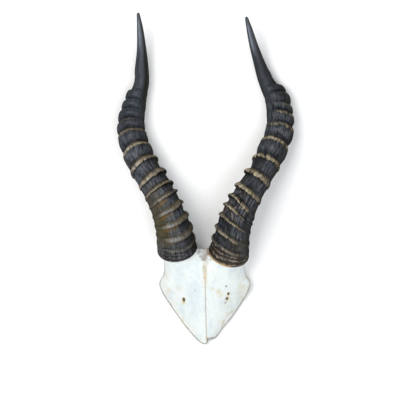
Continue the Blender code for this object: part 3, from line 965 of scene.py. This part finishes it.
@dataclass
class SkullPlate:
    """The top of the skull, between a smooth forehead and a flat saw cut."""

    left_edge: Pairs
    right_edge: Pairs
    back_edge: Pairs
    seats: tuple[Seat, Seat]
    seat_radii: tuple[float, float]
    hollows: dict[str, tuple[float, ...]]
    foramina: Spots
    finish: BoneFinish
    middle: tuple[float, float] = (0.0, -0.1250)
    forehead: Pairs = (
        (-0.2170, 0.0056), (-0.1900, 0.0160), (-0.1600, 0.0275), (-0.1350, 0.0370),
        (-0.1180, 0.0420), (-0.1080, 0.0415), (-0.0980, 0.0370), (-0.0900, 0.0290),
    )
    edge_height: Pairs = ((-0.2170, 0.0030), (-0.1650, 0.0036), (-0.1400, 0.0125), (-0.1150, 0.0140))
    power: Pairs = ((-0.2170, 1.8), (-0.1650, 2.0), (-0.1350, 2.6), (-0.0900, 3.0))
    last_narrow_y: float = -0.1148
    edge_overrun: float = 0.0012
    pedicle_inset: float = 0.0014
    pedicle_blend: float = 0.0070
    pedicle_steepness: float = 6.0
    horn_depth_ratio: float = 1.06
    seat_clearance: float = 0.0008
    seat_gap: float = 0.0003
    seat_flare: float = 0.11
    thinnest_bone: float = 0.0020
    steps_per_span: int = 8
    outline_points: int = 840
    grid_rings: int = 130
    wall_rows: int = 30
    voxel: float = 0.00072
    smoothing_rounds: int = 4

    def outline(self) -> np.ndarray:
        """The plate's outline.

        Returns:
            Evenly spaced points on a smooth closed curve.
        """
        right = [(x, y) for y, x in self.right_edge]
        left = [(-x, y) for y, x in reversed(self.left_edge)]
        curve = smooth_curve([*right, *self.back_edge, *left], self.steps_per_span, closed=True)
        loop = np.vstack([curve, curve[:1]])
        run = np.concatenate([[0.0], np.cumsum(np.linalg.norm(np.diff(loop, axis=0), axis=1))])
        at = np.linspace(0.0, run[-1], self.outline_points, endpoint=False)
        return np.stack([np.interp(at, run, loop[:, 0]), np.interp(at, run, loop[:, 1])], axis=1)

    def stump(self, x: np.ndarray, y: np.ndarray, seat: Seat, radius: float) -> np.ndarray:
        """Works out the stump that a horn stands on, before its seat is cut.

        Args:
            x: The points' x.
            y: The points' y.
            seat: A point on the horn's seat and the way it faces.
            radius: The stump's radius.

        Returns:
            The stump's height at each point.
        """
        middle, normal = Vector(seat[0]), Vector(seat[1]).normalized()
        across = np.abs((x - middle.x) - normal.x * (y - middle.y))
        bulge = np.sqrt(np.maximum(1 - (across / radius) ** 2, 0.0)) * radius
        slope = math.hypot(normal.y, normal.z)
        lean_y, lean_z = normal.y / slope, normal.z / slope
        crown_y = middle.y - lean_z * bulge
        crown_z = middle.z + lean_y * bulge - self.pedicle_steepness * np.maximum(across - radius, 0.0)
        return crown_z - np.maximum(crown_y - y, 0.0) * lean_z / lean_y

    def top(self, x: np.ndarray, y: np.ndarray) -> np.ndarray:
        """Works out the skull's outer surface, its horn seats cut.

        Args:
            x: The points' x.
            y: The points' y.

        Returns:
            The surface's height at each point.
        """
        middle = table(self.forehead, y)
        edge = table(self.edge_height, y)
        reach = table(self.left_edge, np.minimum(y, self.last_narrow_y)) + self.edge_overrun
        share = np.minimum(np.abs(x) / reach, 1.0)
        height = edge + (middle - edge) * (1 - share ** table(self.power, y))
        for seat, radius in zip(self.seats, self.seat_radii):
            stump = self.stump(x, y, seat, radius - self.pedicle_inset)
            height = 0.5 * (height + stump + np.sqrt((height - stump) ** 2 + self.pedicle_blend**2))
        for seat, radius in zip(self.seats, self.seat_radii):
            height = self.cut_seat(np.stack([x, y, height], axis=-1), seat, radius)
        return height

    def cut_seat(self, points: np.ndarray, seat: Seat, radius: float) -> np.ndarray:
        """Lowers the surface to a horn's seat wherever it would stand inside the horn.

        Args:
            points: The surface's points.
            seat: A point on the horn's seat and the way it faces.
            radius: The horn's radius there.

        Returns:
            The points' new heights.
        """
        middle, normal = np.array(seat[0]), np.array(seat[1]) / np.linalg.norm(seat[1])
        apart = points - middle
        above = apart @ normal
        beside = np.linalg.norm(apart - above[..., None] * normal, axis=-1)
        room = radius * self.horn_depth_ratio + self.seat_clearance + above * self.seat_flare
        flat = middle[2] - (apart[..., 0] * normal[0] + apart[..., 1] * normal[1]) / normal[2]
        cut = np.minimum(points[..., 2], flat - self.seat_gap / 2 / normal[2])
        return np.where((above > 0) & (beside < room), cut, points[..., 2])

    def underside(self, x: np.ndarray, y: np.ndarray) -> np.ndarray:
        """Works out the lower surface: the saw cut, and the hollows that it opened.

        Args:
            x: The points' x.
            y: The points' y.

        Returns:
            The surface's height at each point.
        """
        rise = np.zeros_like(x)
        for hx, hy, half_x, half_y, half_z in self.hollows.values():
            inside = 1 - ((x - hx) / half_x) ** 2 - ((y - hy) / half_y) ** 2
            rise = np.maximum(rise, half_z * np.sqrt(np.maximum(inside, 0.0)))
        return rise

    def body(self) -> bpy.types.Object:
        """Makes the plate's closed body on a round grid of its outline.

        Returns:
            The body, with a Remesh modifier that evens its faces.
        """
        around = self.outline()
        shares = (np.arange(1, self.grid_rings + 1) / self.grid_rings)[:, None, None]
        grid = np.array(self.middle) + (around - np.array(self.middle)) * shares
        x, y = grid[..., 0].ravel(), grid[..., 1].ravel()
        high = self.top(x, y)
        low = np.minimum(self.underside(x, y), high - self.thinnest_bone)
        rim_high, rim_low = high[-len(around):], low[-len(around):]
        steps = np.linspace(0.0, 1.0, self.wall_rows + 1)[1:-1, None]
        rows = [np.stack([x, y, high], axis=1)]
        rows += [np.column_stack([around, z]) for z in rim_high + (rim_low - rim_high) * steps]
        under = np.stack([x, y, low], axis=1).reshape(self.grid_rings, -1, 3)[::-1].reshape(-1, 3)
        centre = np.array(self.middle)[:, None]
        ends = [[*self.middle, float(height(*centre)[0])] for height in (self.top, self.underside)]
        points = np.vstack([*rows, under, ends])
        mesh = bpy.data.meshes.new("plate_body")
        mesh.from_pydata(points.tolist(), [], self.faces(len(points), len(around)))
        body = link("plate_body", mesh)
        remesh = body.modifiers.new("even", "REMESH")
        remesh.mode = "VOXEL"
        remesh.voxel_size = self.voxel
        return body

    def faces(self, points: int, sides: int) -> list[tuple[int, ...]]:
        """Joins the body's points with faces.

        Args:
            points: How many points there are, the two ends last.
            sides: How many of them make a loop.

        Returns:
            Quads between one loop and the next, and a fan at each end.
        """
        loops = (points - 2) // sides
        crown, pit, last = points - 2, points - 1, (loops - 1) * sides
        made = []
        for k in range(sides):
            j = (k + 1) % sides
            made.append((crown, k, j))
            made.append((pit, last + j, last + k))
            for a in range(0, last, sides):
                made.append((a + k, a + sides + k, a + sides + j, a + j))
        return made

    def build(self) -> bpy.types.Object:
        """Makes the plate.

        Returns:
            The finished piece.
        """
        piece = bake(self.body(), "skull_plate_surface")
        carver = Carver(piece.data)
        carver.smooth(self.smoothing_rounds)
        BoneDetail(self).carve(carver)
        carver.write()
        piece.data.shade_smooth()
        piece.data.materials.clear()
        piece.data.materials.append(self.finish.material())
        dress(piece, "skull_plate")
        return piece


class Carver:
    """Moves a fine mesh's points and paints its attributes as whole arrays."""

    def __init__(self, mesh: bpy.types.Mesh) -> None:
        """Reads the mesh.

        Args:
            mesh: The mesh that is carved.
        """
        self.mesh = mesh
        count = len(mesh.vertices)
        self.points = np.empty(count * 3, np.float64)
        mesh.vertices.foreach_get("co", self.points)
        self.points = self.points.reshape(-1, 3)
        edges = np.empty(len(mesh.edges) * 2, np.int64)
        mesh.edges.foreach_get("vertices", edges)
        self.edges = edges.reshape(-1, 2)
        self.degree = np.bincount(edges, minlength=count)[:, None]
        self.paint: dict[str, np.ndarray] = {}

    def smooth(self, rounds: int) -> None:
        """Moves every point halfway to the middle of its neighbours.

        Args:
            rounds: How many times.
        """
        for _ in range(rounds):
            near = np.zeros_like(self.points)
            np.add.at(near, self.edges[:, 0], self.points[self.edges[:, 1]])
            np.add.at(near, self.edges[:, 1], self.points[self.edges[:, 0]])
            self.points += 0.5 * (near / self.degree - self.points)
        self.put()

    def put(self) -> None:
        """Writes the points back."""
        self.mesh.vertices.foreach_set("co", self.points.ravel())
        self.mesh.update()

    def normals(self) -> np.ndarray:
        """Reads the points' normals.

        Returns:
            One row for each point.
        """
        made = np.empty(len(self.points) * 3, np.float32)
        self.mesh.vertex_normals.foreach_get("vector", made)
        return made.reshape(-1, 3).astype(np.float64)

    def sink(self, depth: np.ndarray) -> None:
        """Moves each point inwards by a depth."""
        self.points -= self.normals() * depth[:, None]
        self.put()

    def noise(self, scale: float, octaves: int, offset: float) -> np.ndarray:
        """A smooth noise from about -1 to 1 at every point."""
        return np.array([noise.fractal(Vector(p), 1.0, 2.0, octaves) for p in self.points * scale + offset])

    def write(self) -> None:
        """Stores what was painted as attributes of the mesh."""
        for name, values in self.paint.items():
            layer = self.mesh.attributes.new(name, "FLOAT", "POINT")
            layer.data.foreach_set("value", np.clip(values, 0.0, 1.0).astype(np.float32))


@dataclass
class BoneDetail:
    """The plate's sutures, foramina, cracks, pores, stains and painted shade.

    A stain or a patch of painted shade is its x and y, its reach along each, and its strength.
    """

    plate: SkullPlate
    midline: Pairs = (
        (0.0000, -0.1290), (0.0006, -0.1500), (0.0008, -0.1720), (0.0016, -0.1900), (0.0020, -0.2040),
        (0.0026, -0.2125),
    )
    knit: tuple[float, float] = (-0.1245, -0.1110)
    knit_half_width: float = 0.0030
    knit_rise: float = 0.0012
    knit_stitches: int = 5
    knit_drift: float = -0.0006
    edge_crack: Pairs = (
        (0.0377, -0.1731), (0.0340, -0.1755), (0.0300, -0.1787), (0.0268, -0.1830), (0.0252, -0.1861),
        (0.0240, -0.1895), (0.0228, -0.1926), (0.0222, -0.1966),
    )
    hairline: Pairs = ((-0.0238, -0.1856), (-0.0212, -0.1905), (-0.0199, -0.1935))
    vessel_line: Pairs = ((0.0109, -0.1042), (0.0060, -0.1075), (0.0020, -0.1100))
    cream_stains: Spots = (
        (0.0183, -0.1498, 0.0075, 0.0060, 0.75), (0.0099, -0.1438, 0.0060, 0.0040, 0.65),
        (-0.0536, -0.1389, 0.0060, 0.0070, 0.60), (-0.0486, -0.1467, 0.0060, 0.0060, 0.55),
        (-0.0338, -0.1438, 0.0070, 0.0040, 0.40), (-0.0278, -0.1600, 0.0040, 0.0060, 0.55),
        (0.0300, -0.1560, 0.0050, 0.0080, 0.50), (0.0340, -0.1760, 0.0080, 0.0060, 0.65),
        (0.0240, -0.1890, 0.0060, 0.0060, 0.60), (0.0000, -0.1330, 0.0050, 0.0100, 0.70),
        (0.0030, -0.2100, 0.0050, 0.0040, 0.60), (-0.0150, -0.1980, 0.0030, 0.0050, 0.30),
        (-0.0500, -0.1280, 0.0050, 0.0110, 0.45), (0.0480, -0.1440, 0.0070, 0.0100, 0.90),
        (-0.0420, -0.1690, 0.0050, 0.0090, 0.45), (-0.0300, -0.1850, 0.0070, 0.0040, 0.55),
        (0.0460, -0.1560, 0.0060, 0.0070, 0.55), (0.0150, -0.1480, 0.0050, 0.0080, 0.45),
        (0.0090, -0.1180, 0.0050, 0.0050, 0.35), (0.0280, -0.1690, 0.0050, 0.0080, 0.40),
    )
    # Painted shade: a bluish band left of the midline
    cool_shade_spots: Spots = ((-0.0140, -0.1500, 0.0110, 0.0360, 0.75),)
    honey_stains: Spots = (
        (0.0002, -0.1275, 0.0028, 0.0042, 0.95), (0.0002, -0.0960, 0.0026, 0.0060, 0.35),
        (0.0183, -0.1498, 0.0030, 0.0020, 0.55), (0.0560, -0.1440, 0.0020, 0.0060, 0.30),
        (0.0235, -0.1900, 0.0030, 0.0050, 0.45), (-0.0276, -0.1612, 0.0020, 0.0024, 0.60),
    )
    # Grey-brown spots: between the horns, partly stain and partly painted shade where the bone slopes away;
    # along the back edge, a painted shadow; in the notch beside the left horn, painted shade
    grime_and_shade_spots: Spots = (
        (0.0002, -0.0985, 0.0072, 0.0150, 0.90), (0.0010, -0.0900, 0.0110, 0.0034, 1.0),
        (0.0020, -0.0960, 0.0040, 0.0100, 0.80), (-0.0080, -0.0962, 0.0026, 0.0045, 0.75),
        (-0.0120, -0.0925, 0.0050, 0.0022, 0.60), (-0.0004, -0.1170, 0.0030, 0.0080, 0.50),
        (-0.0130, -0.1463, 0.0022, 0.0018, 0.40), (-0.0083, -0.1304, 0.0022, 0.0018, 0.30),
    )
    line_wander: float = 0.3 * MM
    rough_depth: float = 0.10 * MM
    wide_depth: float = 0.30 * MM
    # Pores of the saw cut are painted darker the deeper they are, fully at this depth
    pore_darkening_depth: float = 2.0 * MM
    pore_scale: float = 420.0
    pore_depth: float = 0.0009
    hard_skin: float = 0.0040
    outline_batches: int = 40

    def near(self, line: Pairs, x: np.ndarray, y: np.ndarray) -> np.ndarray:
        """Measures how far points lie from a line drawn on the forehead, as seen from above.

        Args:
            line: The line's points.
            x: The points' x.
            y: The points' y.

        Returns:
            Each point's distance.
        """
        best = np.full_like(x, 1.0)
        for (ax, ay), (bx, by) in zip(line, line[1:]):
            dx, dy = bx - ax, by - ay
            t = np.clip(((x - ax) * dx + (y - ay) * dy) / (dx * dx + dy * dy), 0.0, 1.0)
            best = np.minimum(best, np.hypot(x - ax - t * dx, y - ay - t * dy))
        return best

    def stitches(self) -> list[Pairs]:
        """Draws the interlocked part of the midline suture.

        Returns:
            Short slanting strokes, the longest at its middle.
        """
        low, high = self.knit
        strokes = []
        for k in range(self.knit_stitches):
            share = k / (self.knit_stitches - 1)
            reach = self.knit_half_width * (0.55 + 0.45 * math.sin(math.pi * share))
            x, y = self.knit_drift * share, low + (high - low) * share
            strokes.append(((x - reach, y - self.knit_rise / 2), (x + reach, y + self.knit_rise / 2)))
        return strokes

    def stains(self, spots: Spots, x: np.ndarray, y: np.ndarray, ragged: np.ndarray) -> np.ndarray:
        """Paints soft blotches.

        Args:
            spots: The blotches: stains, and patches of painted shade.
            x: The points' x.
            y: The points' y.
            ragged: A noise that makes their edges uneven.

        Returns:
            How strongly each point is blotched.
        """
        made = np.zeros_like(x)
        for sx, sy, rx, ry, strength in spots:
            far = np.hypot((x - sx) / rx, (y - sy) / ry) + 0.60 * ragged
            made = np.maximum(made, strength * ease(-far, -1.25, -0.25))
        return made

    def carve(self, carver: Carver) -> None:
        """Carves and paints the plate.

        Args:
            carver: The plate's mesh.
        """
        # These three follow the points, so what is read after the carving is read on the carved bone
        x, y, z = carver.points.T
        facing = carver.normals()[:, 2]
        outer = ease(facing, 0.05, 0.35)
        rough = carver.noise(180.0, 4, 3.0)
        wide = carver.noise(45.0, 3, 9.0)
        wiggle = self.line_wander * carver.noise(420.0, 2, 21.0)
        knit = np.minimum.reduce([self.near(stroke, x + wiggle, y + wiggle) for stroke in self.stitches()])
        depth = np.zeros_like(x)
        seam = np.zeros_like(x)
        # Distance from each line, and its width, depth and darkness in millimetres and shares
        for gap, width, deep, dark in (
            (self.near(self.midline, x + wiggle, y), 0.80, 0.30, 0.80), (knit, 0.45, 0.35, 0.12),
            (self.near(self.edge_crack, x + wiggle, y + wiggle), 0.45, 0.45, 0.55),
            (self.near(self.hairline, x + wiggle, y), 0.35, 0.18, 0.40),
            (self.near(self.vessel_line, x, y + wiggle), 0.40, 0.12, 0.25),
        ):
            cut = 1 - ease(gap, 0.25 * width * MM, 1.5 * width * MM)
            depth = np.maximum(depth, cut * deep * MM * outer)
            seam = np.maximum(seam, (1 - ease(gap, 0.2 * width * MM, 1.2 * width * MM)) * dark * outer)
        hole, halo = self.holes(x, y)
        depth = np.maximum(depth, hole * outer)
        stitched = 0.95 * (1 - ease(knit, 0.35 * MM, 0.90 * MM))
        honey = np.maximum.reduce([self.stains(self.honey_stains, x, y, rough), 0.85 * halo, stitched])
        depth += (self.rough_depth * rough + self.wide_depth * wide) * ease(z, 0.0008, 0.004)
        spongy = self.sponge(carver.points, facing)
        carver.sink(depth + spongy)

        inside, rim = self.rim(x, y)
        mottled = 0.65 * inside * ease(carver.noise(300.0, 3, 33.0), 0.0, 0.30)
        cream = np.maximum(self.stains(self.cream_stains, x, y, rough), mottled)
        # The grey-brown and cool masks carry painted shade as well as stains, and the rim mask is painted
        # shade along the edges
        carver.paint = {
            "stain": cream * outer + 0.5 * ease(-facing, 0.3, 0.9),
            "grime_and_shade": self.stains(self.grime_and_shade_spots, x, y, rough) * outer + spongy / self.pore_darkening_depth,
            "honey": honey * outer,
            "cool_tone_and_shade": self.stains(self.cool_shade_spots, x, y, rough) * outer,
            "pit": np.maximum(0.92 * ease(hole, 0.35 * MM, 1.4 * MM), 0.22 * halo) * outer,
            "rim": rim * ease(facing, -0.6, -0.2),
            "seam": seam,
        }

    def rim(self, x: np.ndarray, y: np.ndarray) -> tuple[np.ndarray, np.ndarray]:
        """Finds the plate's edges, strongest beside the nose.

        Args:
            x: The points' x.
            y: The points' y.

        Returns:
            How near each point is to the edges, and how much painted shade greys the bone along them.
        """
        outline = self.plate.outline()
        gap = np.empty_like(x)
        for part in np.array_split(np.arange(len(x)), self.outline_batches):
            gap[part] = np.hypot(x[part, None] - outline[:, 0], y[part, None] - outline[:, 1]).min(axis=1)
        nose = ease(-y, 0.105, 0.150)
        inside = (1 - ease(gap, 3.0 * MM, 8.0 * MM)) * (0.3 + 0.7 * nose)
        return inside, (1 - ease(gap, 0.9 * MM, 2.1 * MM)) * (0.25 + 0.65 * nose)

    def holes(self, x: np.ndarray, y: np.ndarray) -> tuple[np.ndarray, np.ndarray]:
        """Sinks the foramina.

        Args:
            x: The points' x.
            y: The points' y.

        Returns:
            Their depth, and how dark the bone is in and round them.
        """
        depth = np.zeros_like(x)
        halo = np.zeros_like(x)
        for hx, hy, rx, ry, deep in self.plate.foramina:
            far = np.hypot((x - hx) / rx, (y - hy) / ry)
            depth = np.maximum(depth, deep * (1 - ease(far, 0.55, 1.15)))
            halo = np.maximum(halo, 1 - ease(far, 0.95, 1.60))
        return depth, halo

    def sponge(self, points: np.ndarray, facing: np.ndarray) -> np.ndarray:
        """Sinks small pits in the sawn face, away from its hard outer skin.

        Args:
            points: The plate's points.
            facing: How far up each of them faces.

        Returns:
            The pits' depth at each point.
        """
        depth = np.zeros(len(points))
        outline = self.plate.outline()
        for k in np.flatnonzero((facing < -0.8) & (points[:, 2] < 0.4 * MM)):
            x, y, _ = points[k]
            if np.hypot(*(outline - (x, y)).T).min() < 0.8 * self.hard_skin:
                continue
            apart = noise.voronoi(Vector((x * self.pore_scale, y * self.pore_scale, 0.0)))[0]
            depth[k] = self.pore_depth * float(ease(np.array(0.42 - apart[0]), 0.0, 0.22))
        return depth


@dataclass(frozen=True)
class FloorFinish:
    """A plain pale studio floor."""

    name: str = "floor"
    pale: Colour = colour(0.93, 0.93, 0.93)
    worn: Colour = colour(0.90, 0.90, 0.905)
    roughness: float = 0.9

    def material(self) -> bpy.types.Material:
        """Makes the floor's material.

        Returns:
            The material.
        """
        paint = Paint(self.name, self.pale)
        place = paint.n.add("ShaderNodeTexCoord").outputs["Object"]
        paint.cover(self.worn, paint.n.noise(place, 1.5, 3.0))
        return paint.complete(self.roughness)


@dataclass
class Studio:
    """The camera over the skull, the soft light and the floor."""

    picture_pixels: int = 400
    metres_per_pixel: float = 0.0013
    centre: tuple[float, float] = (-0.0065, -0.0284)
    focus_height: float = 0.035
    camera_distance: float = 6.0
    camera_reach: float = 50.0
    sensor: float = 36.0
    sky_colour: Colour = colour(0.97, 0.985, 1.0)
    sky_strength: float = 0.38
    floor_size: float = 8.0
    floor_drop: float = 0.0002

    def camera(self) -> None:
        """Hangs the camera straight above the skull, its top towards the horn tips."""
        view = bpy.data.cameras.new("camera")
        view.sensor_width = self.sensor
        view.lens = self.sensor * self.camera_distance / (self.picture_pixels * self.metres_per_pixel)
        view.clip_end = self.camera_reach
        made = link("camera", view)
        made.location = (*self.centre, self.focus_height + self.camera_distance)
        bpy.context.scene.camera = made

    def lamp(self, name: str, place: Point, size: float, watts: float, tint: Point) -> None:
        """Adds a square soft light that points at the skull.

        Args:
            name: The light's name.
            place: Where it hangs.
            size: Its side.
            watts: Its strength.
            tint: Its colour.
        """
        data = bpy.data.lights.new(name, "AREA")
        data.size = size
        data.energy = watts
        data.color = tint
        made = link(name, data)
        made.location = place
        made.rotation_euler = (-Vector(place)).to_track_quat("-Z", "Y").to_euler()
        made.visible_camera = False

    def light(self) -> None:
        """Lights the skull softly, mostly from the upper left."""
        self.lamp("key", place=(-0.95, 0.30, 2.1), size=1.4, watts=44.0, tint=(1.0, 0.99, 0.97))
        self.lamp("fill", place=(0.9, -0.9, 2.3), size=2.0, watts=36.0, tint=(0.95, 0.98, 1.0))
        world = bpy.data.worlds.new("studio")
        world.use_nodes = True
        sky = world.node_tree.nodes["Background"]
        sky.inputs["Color"].default_value = self.sky_colour
        sky.inputs["Strength"].default_value = self.sky_strength
        bpy.context.scene.world = world

    def floor(self) -> None:
        """Lays the floor."""
        half = self.floor_size / 2
        mesh = bpy.data.meshes.new("floor")
        corners = [(-half, -half), (half, -half), (half, half), (-half, half)]
        mesh.from_pydata([(x, y, -self.floor_drop) for x, y in corners], [], [(0, 1, 2, 3)])
        mesh.materials.append(FloorFinish().material())
        link("floor", mesh)

    def build(self) -> None:
        """Sets the studio up."""
        bpy.context.scene.view_settings.view_transform = "Standard"
        self.camera()
        self.light()
        self.floor()


# A point on the plane that each horn stands on, and the way the plane faces
LEFT_SEAT = ((-0.0362, -0.0918, 0.0280), (-0.126, 0.778, 0.616))
RIGHT_SEAT = ((0.0307, -0.0978, 0.0280), (0.185, 0.766, 0.616))


def left_horn() -> RingedHorn:
    """The horn at the picture's left: broad tan crests, brown and smooth at its base.

    Returns:
        The horn, not built yet.
    """
    return RingedHorn(
        name="horn_left",
        side=Side.LEFT,
        line=[
            (-0.0338, -0.1060, 0.0160, 0.0262), (-0.0362, -0.0918, 0.0280, 0.0260),
            (-0.0400, -0.0660, 0.0440, 0.0247), (-0.0492, -0.0375, 0.0520, 0.0224),
            (-0.0640, -0.0080, 0.0490, 0.0214), (-0.0806, 0.0185, 0.0405, 0.0210),
            (-0.0922, 0.0450, 0.0292, 0.0195), (-0.0966, 0.0710, 0.0204, 0.0181),
            (-0.0908, 0.1010, 0.0150, 0.0146), (-0.0866, 0.1150, 0.0153, 0.0125),
            (-0.0832, 0.1300, 0.0160, 0.0108), (-0.0824, 0.1640, 0.0222, 0.0067),
            (-0.0846, 0.1950, 0.0300, 0.0041), (-0.0871, 0.2152, 0.0362, 0.0019),
        ],
        rings=[
            (0.0124, -0.0012, -0.0005), (0.0272, -0.0028, -0.0012), (0.0415, 0.0003, -0.0020),
            (0.0568, -0.0001, -0.0030), (0.0712, 0.0004, -0.0034), (0.0835, 0.0024, -0.0026),
            (0.1002, 0.0001, -0.0020), (0.1216, 0.0022, -0.0024), (0.1444, 0.0036, -0.0013),
            (0.1686, 0.0040, 0.0004), (0.1839, 0.0048, -0.0024), (0.1975, 0.0045, -0.0015),
            (0.2115, 0.0040, -0.0015), (0.2255, 0.0038, -0.0010),
        ],
        seat=LEFT_SEAT,
        finish=HornFinish(
            name="left_horn",
            seed=4.0,
            band_strength=(
                (0.0, 0.05), (0.06, 0.30), (0.13, 0.70), (0.20, 0.80), (0.34, 0.92), (0.44, 0.92),
                (0.49, 0.75), (0.535, 0.38), (0.575, 0.12), (0.62, 0.0), (1.0, 0.0),
            ),
            band_width=((0.0, 0.30), (0.20, 0.32), (0.30, 0.27), (0.45, 0.29), (0.60, 0.26), (1.0, 0.20)),
            band_brown=(
                (0.0, 0.85), (0.18, 0.70), (0.27, 0.35), (0.36, 0.12), (0.44, 0.15), (0.50, 0.35),
                (0.54, 0.75), (1.0, 0.8),
            ),
            band_waviness=0.10, band_gaps=0.36, brown_reach=0.34, brown_strength=0.95,
            rust_and_highlight_strength=0.85, layer_strength=0.14, hair_strength=0.15, patch_strength=0.30,
            streak_strength=0.50, line_strength=0.55, tip_turn=0.80, smooth_from=0.44,
            pale_slate=colour(0.078, 0.091, 0.115), tan=colour(0.45, 0.395, 0.325),
        ),
        striation_depth=0.30 * MM,
        growth_line_depth=0.14 * MM,
        flake_depth=0.35 * MM,
    )


def right_horn() -> RingedHorn:
    """The horn at the picture's right: thin crests below, deep grooves, a flaky tan base.

    Returns:
        The horn, not built yet.
    """
    return RingedHorn(
        name="horn_right",
        side=Side.RIGHT,
        line=[
            (0.0270, -0.1112, 0.0160, 0.0268), (0.0307, -0.0978, 0.0280, 0.0266),
            (0.0352, -0.0690, 0.0440, 0.0243), (0.0436, -0.0430, 0.0520, 0.0227),
            (0.0574, -0.0160, 0.0490, 0.0205), (0.0728, 0.0080, 0.0415, 0.0196),
            (0.0887, 0.0380, 0.0295, 0.0194), (0.0978, 0.0640, 0.0210, 0.0186),
            (0.0971, 0.0900, 0.0162, 0.0171), (0.0932, 0.1060, 0.0155, 0.0161),
            (0.0836, 0.1210, 0.0152, 0.0121), (0.0774, 0.1330, 0.0168, 0.0099),
            (0.0725, 0.1450, 0.0190, 0.0079), (0.0640, 0.1710, 0.0250, 0.0058),
            (0.0575, 0.1950, 0.0310, 0.0038), (0.0535, 0.2100, 0.0352, 0.0019),
        ],
        rings=[
            (0.0125, 0.0022, -0.0065), (0.0258, 0.0043, -0.0085), (0.0427, 0.0054, -0.0068),
            (0.0567, 0.0027, -0.0060), (0.0662, 0.0024, -0.0080), (0.0859, -0.0012, -0.0034),
            (0.1092, -0.0018, -0.0010), (0.1342, 0.0018, 0.0005), (0.1603, 0.0058, -0.0004),
            (0.1876, 0.0014, -0.0020), (0.2040, 0.0040, -0.0040), (0.2150, 0.0048, -0.0045),
            (0.2295, 0.0050, -0.0045), (0.2405, 0.0045, -0.0040),
        ],
        seat=RIGHT_SEAT,
        finish=HornFinish(
            name="right_horn",
            seed=11.0,
            band_strength=(
                (0.0, 0.50), (0.04, 0.68), (0.16, 0.85), (0.28, 1.0), (0.54, 1.0), (0.60, 0.75),
                (0.64, 0.30), (0.68, 0.10), (0.74, 0.0), (1.0, 0.0),
            ),
            band_width=((0.0, 0.20), (0.20, 0.24), (0.28, 0.26), (0.45, 0.26), (0.60, 0.22), (1.0, 0.20)),
            band_brown=((0.0, 0.30), (0.10, 0.15), (0.35, 0.0), (0.56, 0.05), (0.66, 0.5), (1.0, 0.6)),
            band_waviness=0.22, band_gaps=0.39, brown_reach=0.12, brown_strength=0.70,
            rust_and_highlight_strength=0.0, layer_strength=0.90, hair_strength=0.40, patch_strength=0.60,
            streak_strength=0.65, line_strength=0.15, tip_turn=0.25, smooth_from=0.58,
        ),
        striation_depth=0.46 * MM,
        growth_line_depth=0.06 * MM,
        flake_depth=1.00 * MM,
    )


def skull_plate() -> SkullPlate:
    """The plate, with the edges and hollows that the CAD has.

    Returns:
        The plate, not built yet.
    """
    return SkullPlate(
        left_edge=(
            (-0.2170, 0.0012), (-0.2139, 0.0076), (-0.2057, 0.0157), (-0.1914, 0.0276),
            (-0.1724, 0.0412), (-0.1540, 0.0532), (-0.1464, 0.0573), (-0.1365, 0.0598),
            (-0.1265, 0.0548), (-0.1148, 0.0532), (-0.1025, 0.0540), (-0.0915, 0.0585),
        ),
        right_edge=(
            (-0.2152, 0.0030), (-0.2118, 0.0036), (-0.2096, 0.0041), (-0.2098, 0.0050), (-0.2120, 0.0056),
            (-0.2120, 0.0066), (-0.2094, 0.0072), (-0.2090, 0.0082), (-0.2108, 0.0090), (-0.2104, 0.0106),
            (-0.2084, 0.0116), (-0.2086, 0.0142), (-0.1942, 0.0249), (-0.1773, 0.0384), (-0.1595, 0.0502),
            (-0.1465, 0.0572), (-0.1355, 0.0595), (-0.1265, 0.0540), (-0.1148, 0.0512),
            (-0.1060, 0.0505), (-0.0960, 0.0535),
        ),
        back_edge=(
            (0.0485, -0.0855), (0.0330, -0.0805), (0.0170, -0.0845), (0.0085, -0.0900),
            (0.0000, -0.0910), (-0.0085, -0.0915), (-0.0170, -0.0840), (-0.0370, -0.0775),
            (-0.0535, -0.0815),
        ),
        seats=(LEFT_SEAT, RIGHT_SEAT),
        seat_radii=(0.0260, 0.0266),
        hollows={
            "brain_cavity": (0.0, -0.1200, 0.0300, 0.0225, 0.0310),
            "left_orbit": (-0.0560, -0.1410, 0.0200, 0.0190, 0.0105),
            "right_orbit": (0.0560, -0.1410, 0.0200, 0.0190, 0.0105),
            "left_nasal_sinus": (-0.0110, -0.1720, 0.0070, 0.0165, 0.0072),
            "right_nasal_sinus": (0.0110, -0.1720, 0.0070, 0.0165, 0.0072),
            "left_frontal_sinus": (-0.0400, -0.0975, 0.0095, 0.0100, 0.0090),
            "right_frontal_sinus": (0.0360, -0.1005, 0.0095, 0.0100, 0.0090),
        },
        foramina=(
            (-0.0278, -0.1588, 0.0017, 0.0028, 0.0045), (0.0308, -0.1508, 0.0015, 0.0018, 0.0040),
            (0.0290, -0.1572, 0.0017, 0.0020, 0.0040), (0.0278, -0.1408, 0.0010, 0.0010, 0.0018),
            (0.0268, -0.1627, 0.0009, 0.0010, 0.0015),
        ),
        finish=BoneFinish(),
    )


def main() -> None:
    """Builds the studio, the plate and both horns."""
    Studio().build()
    skull_plate().build()
    tree = HornTree(HornForm()).build()
    for horn in (left_horn(), right_horn()):
        horn.build(tree)
    bpy.data.node_groups.remove(tree)


if __name__ == "__main__":
    main()
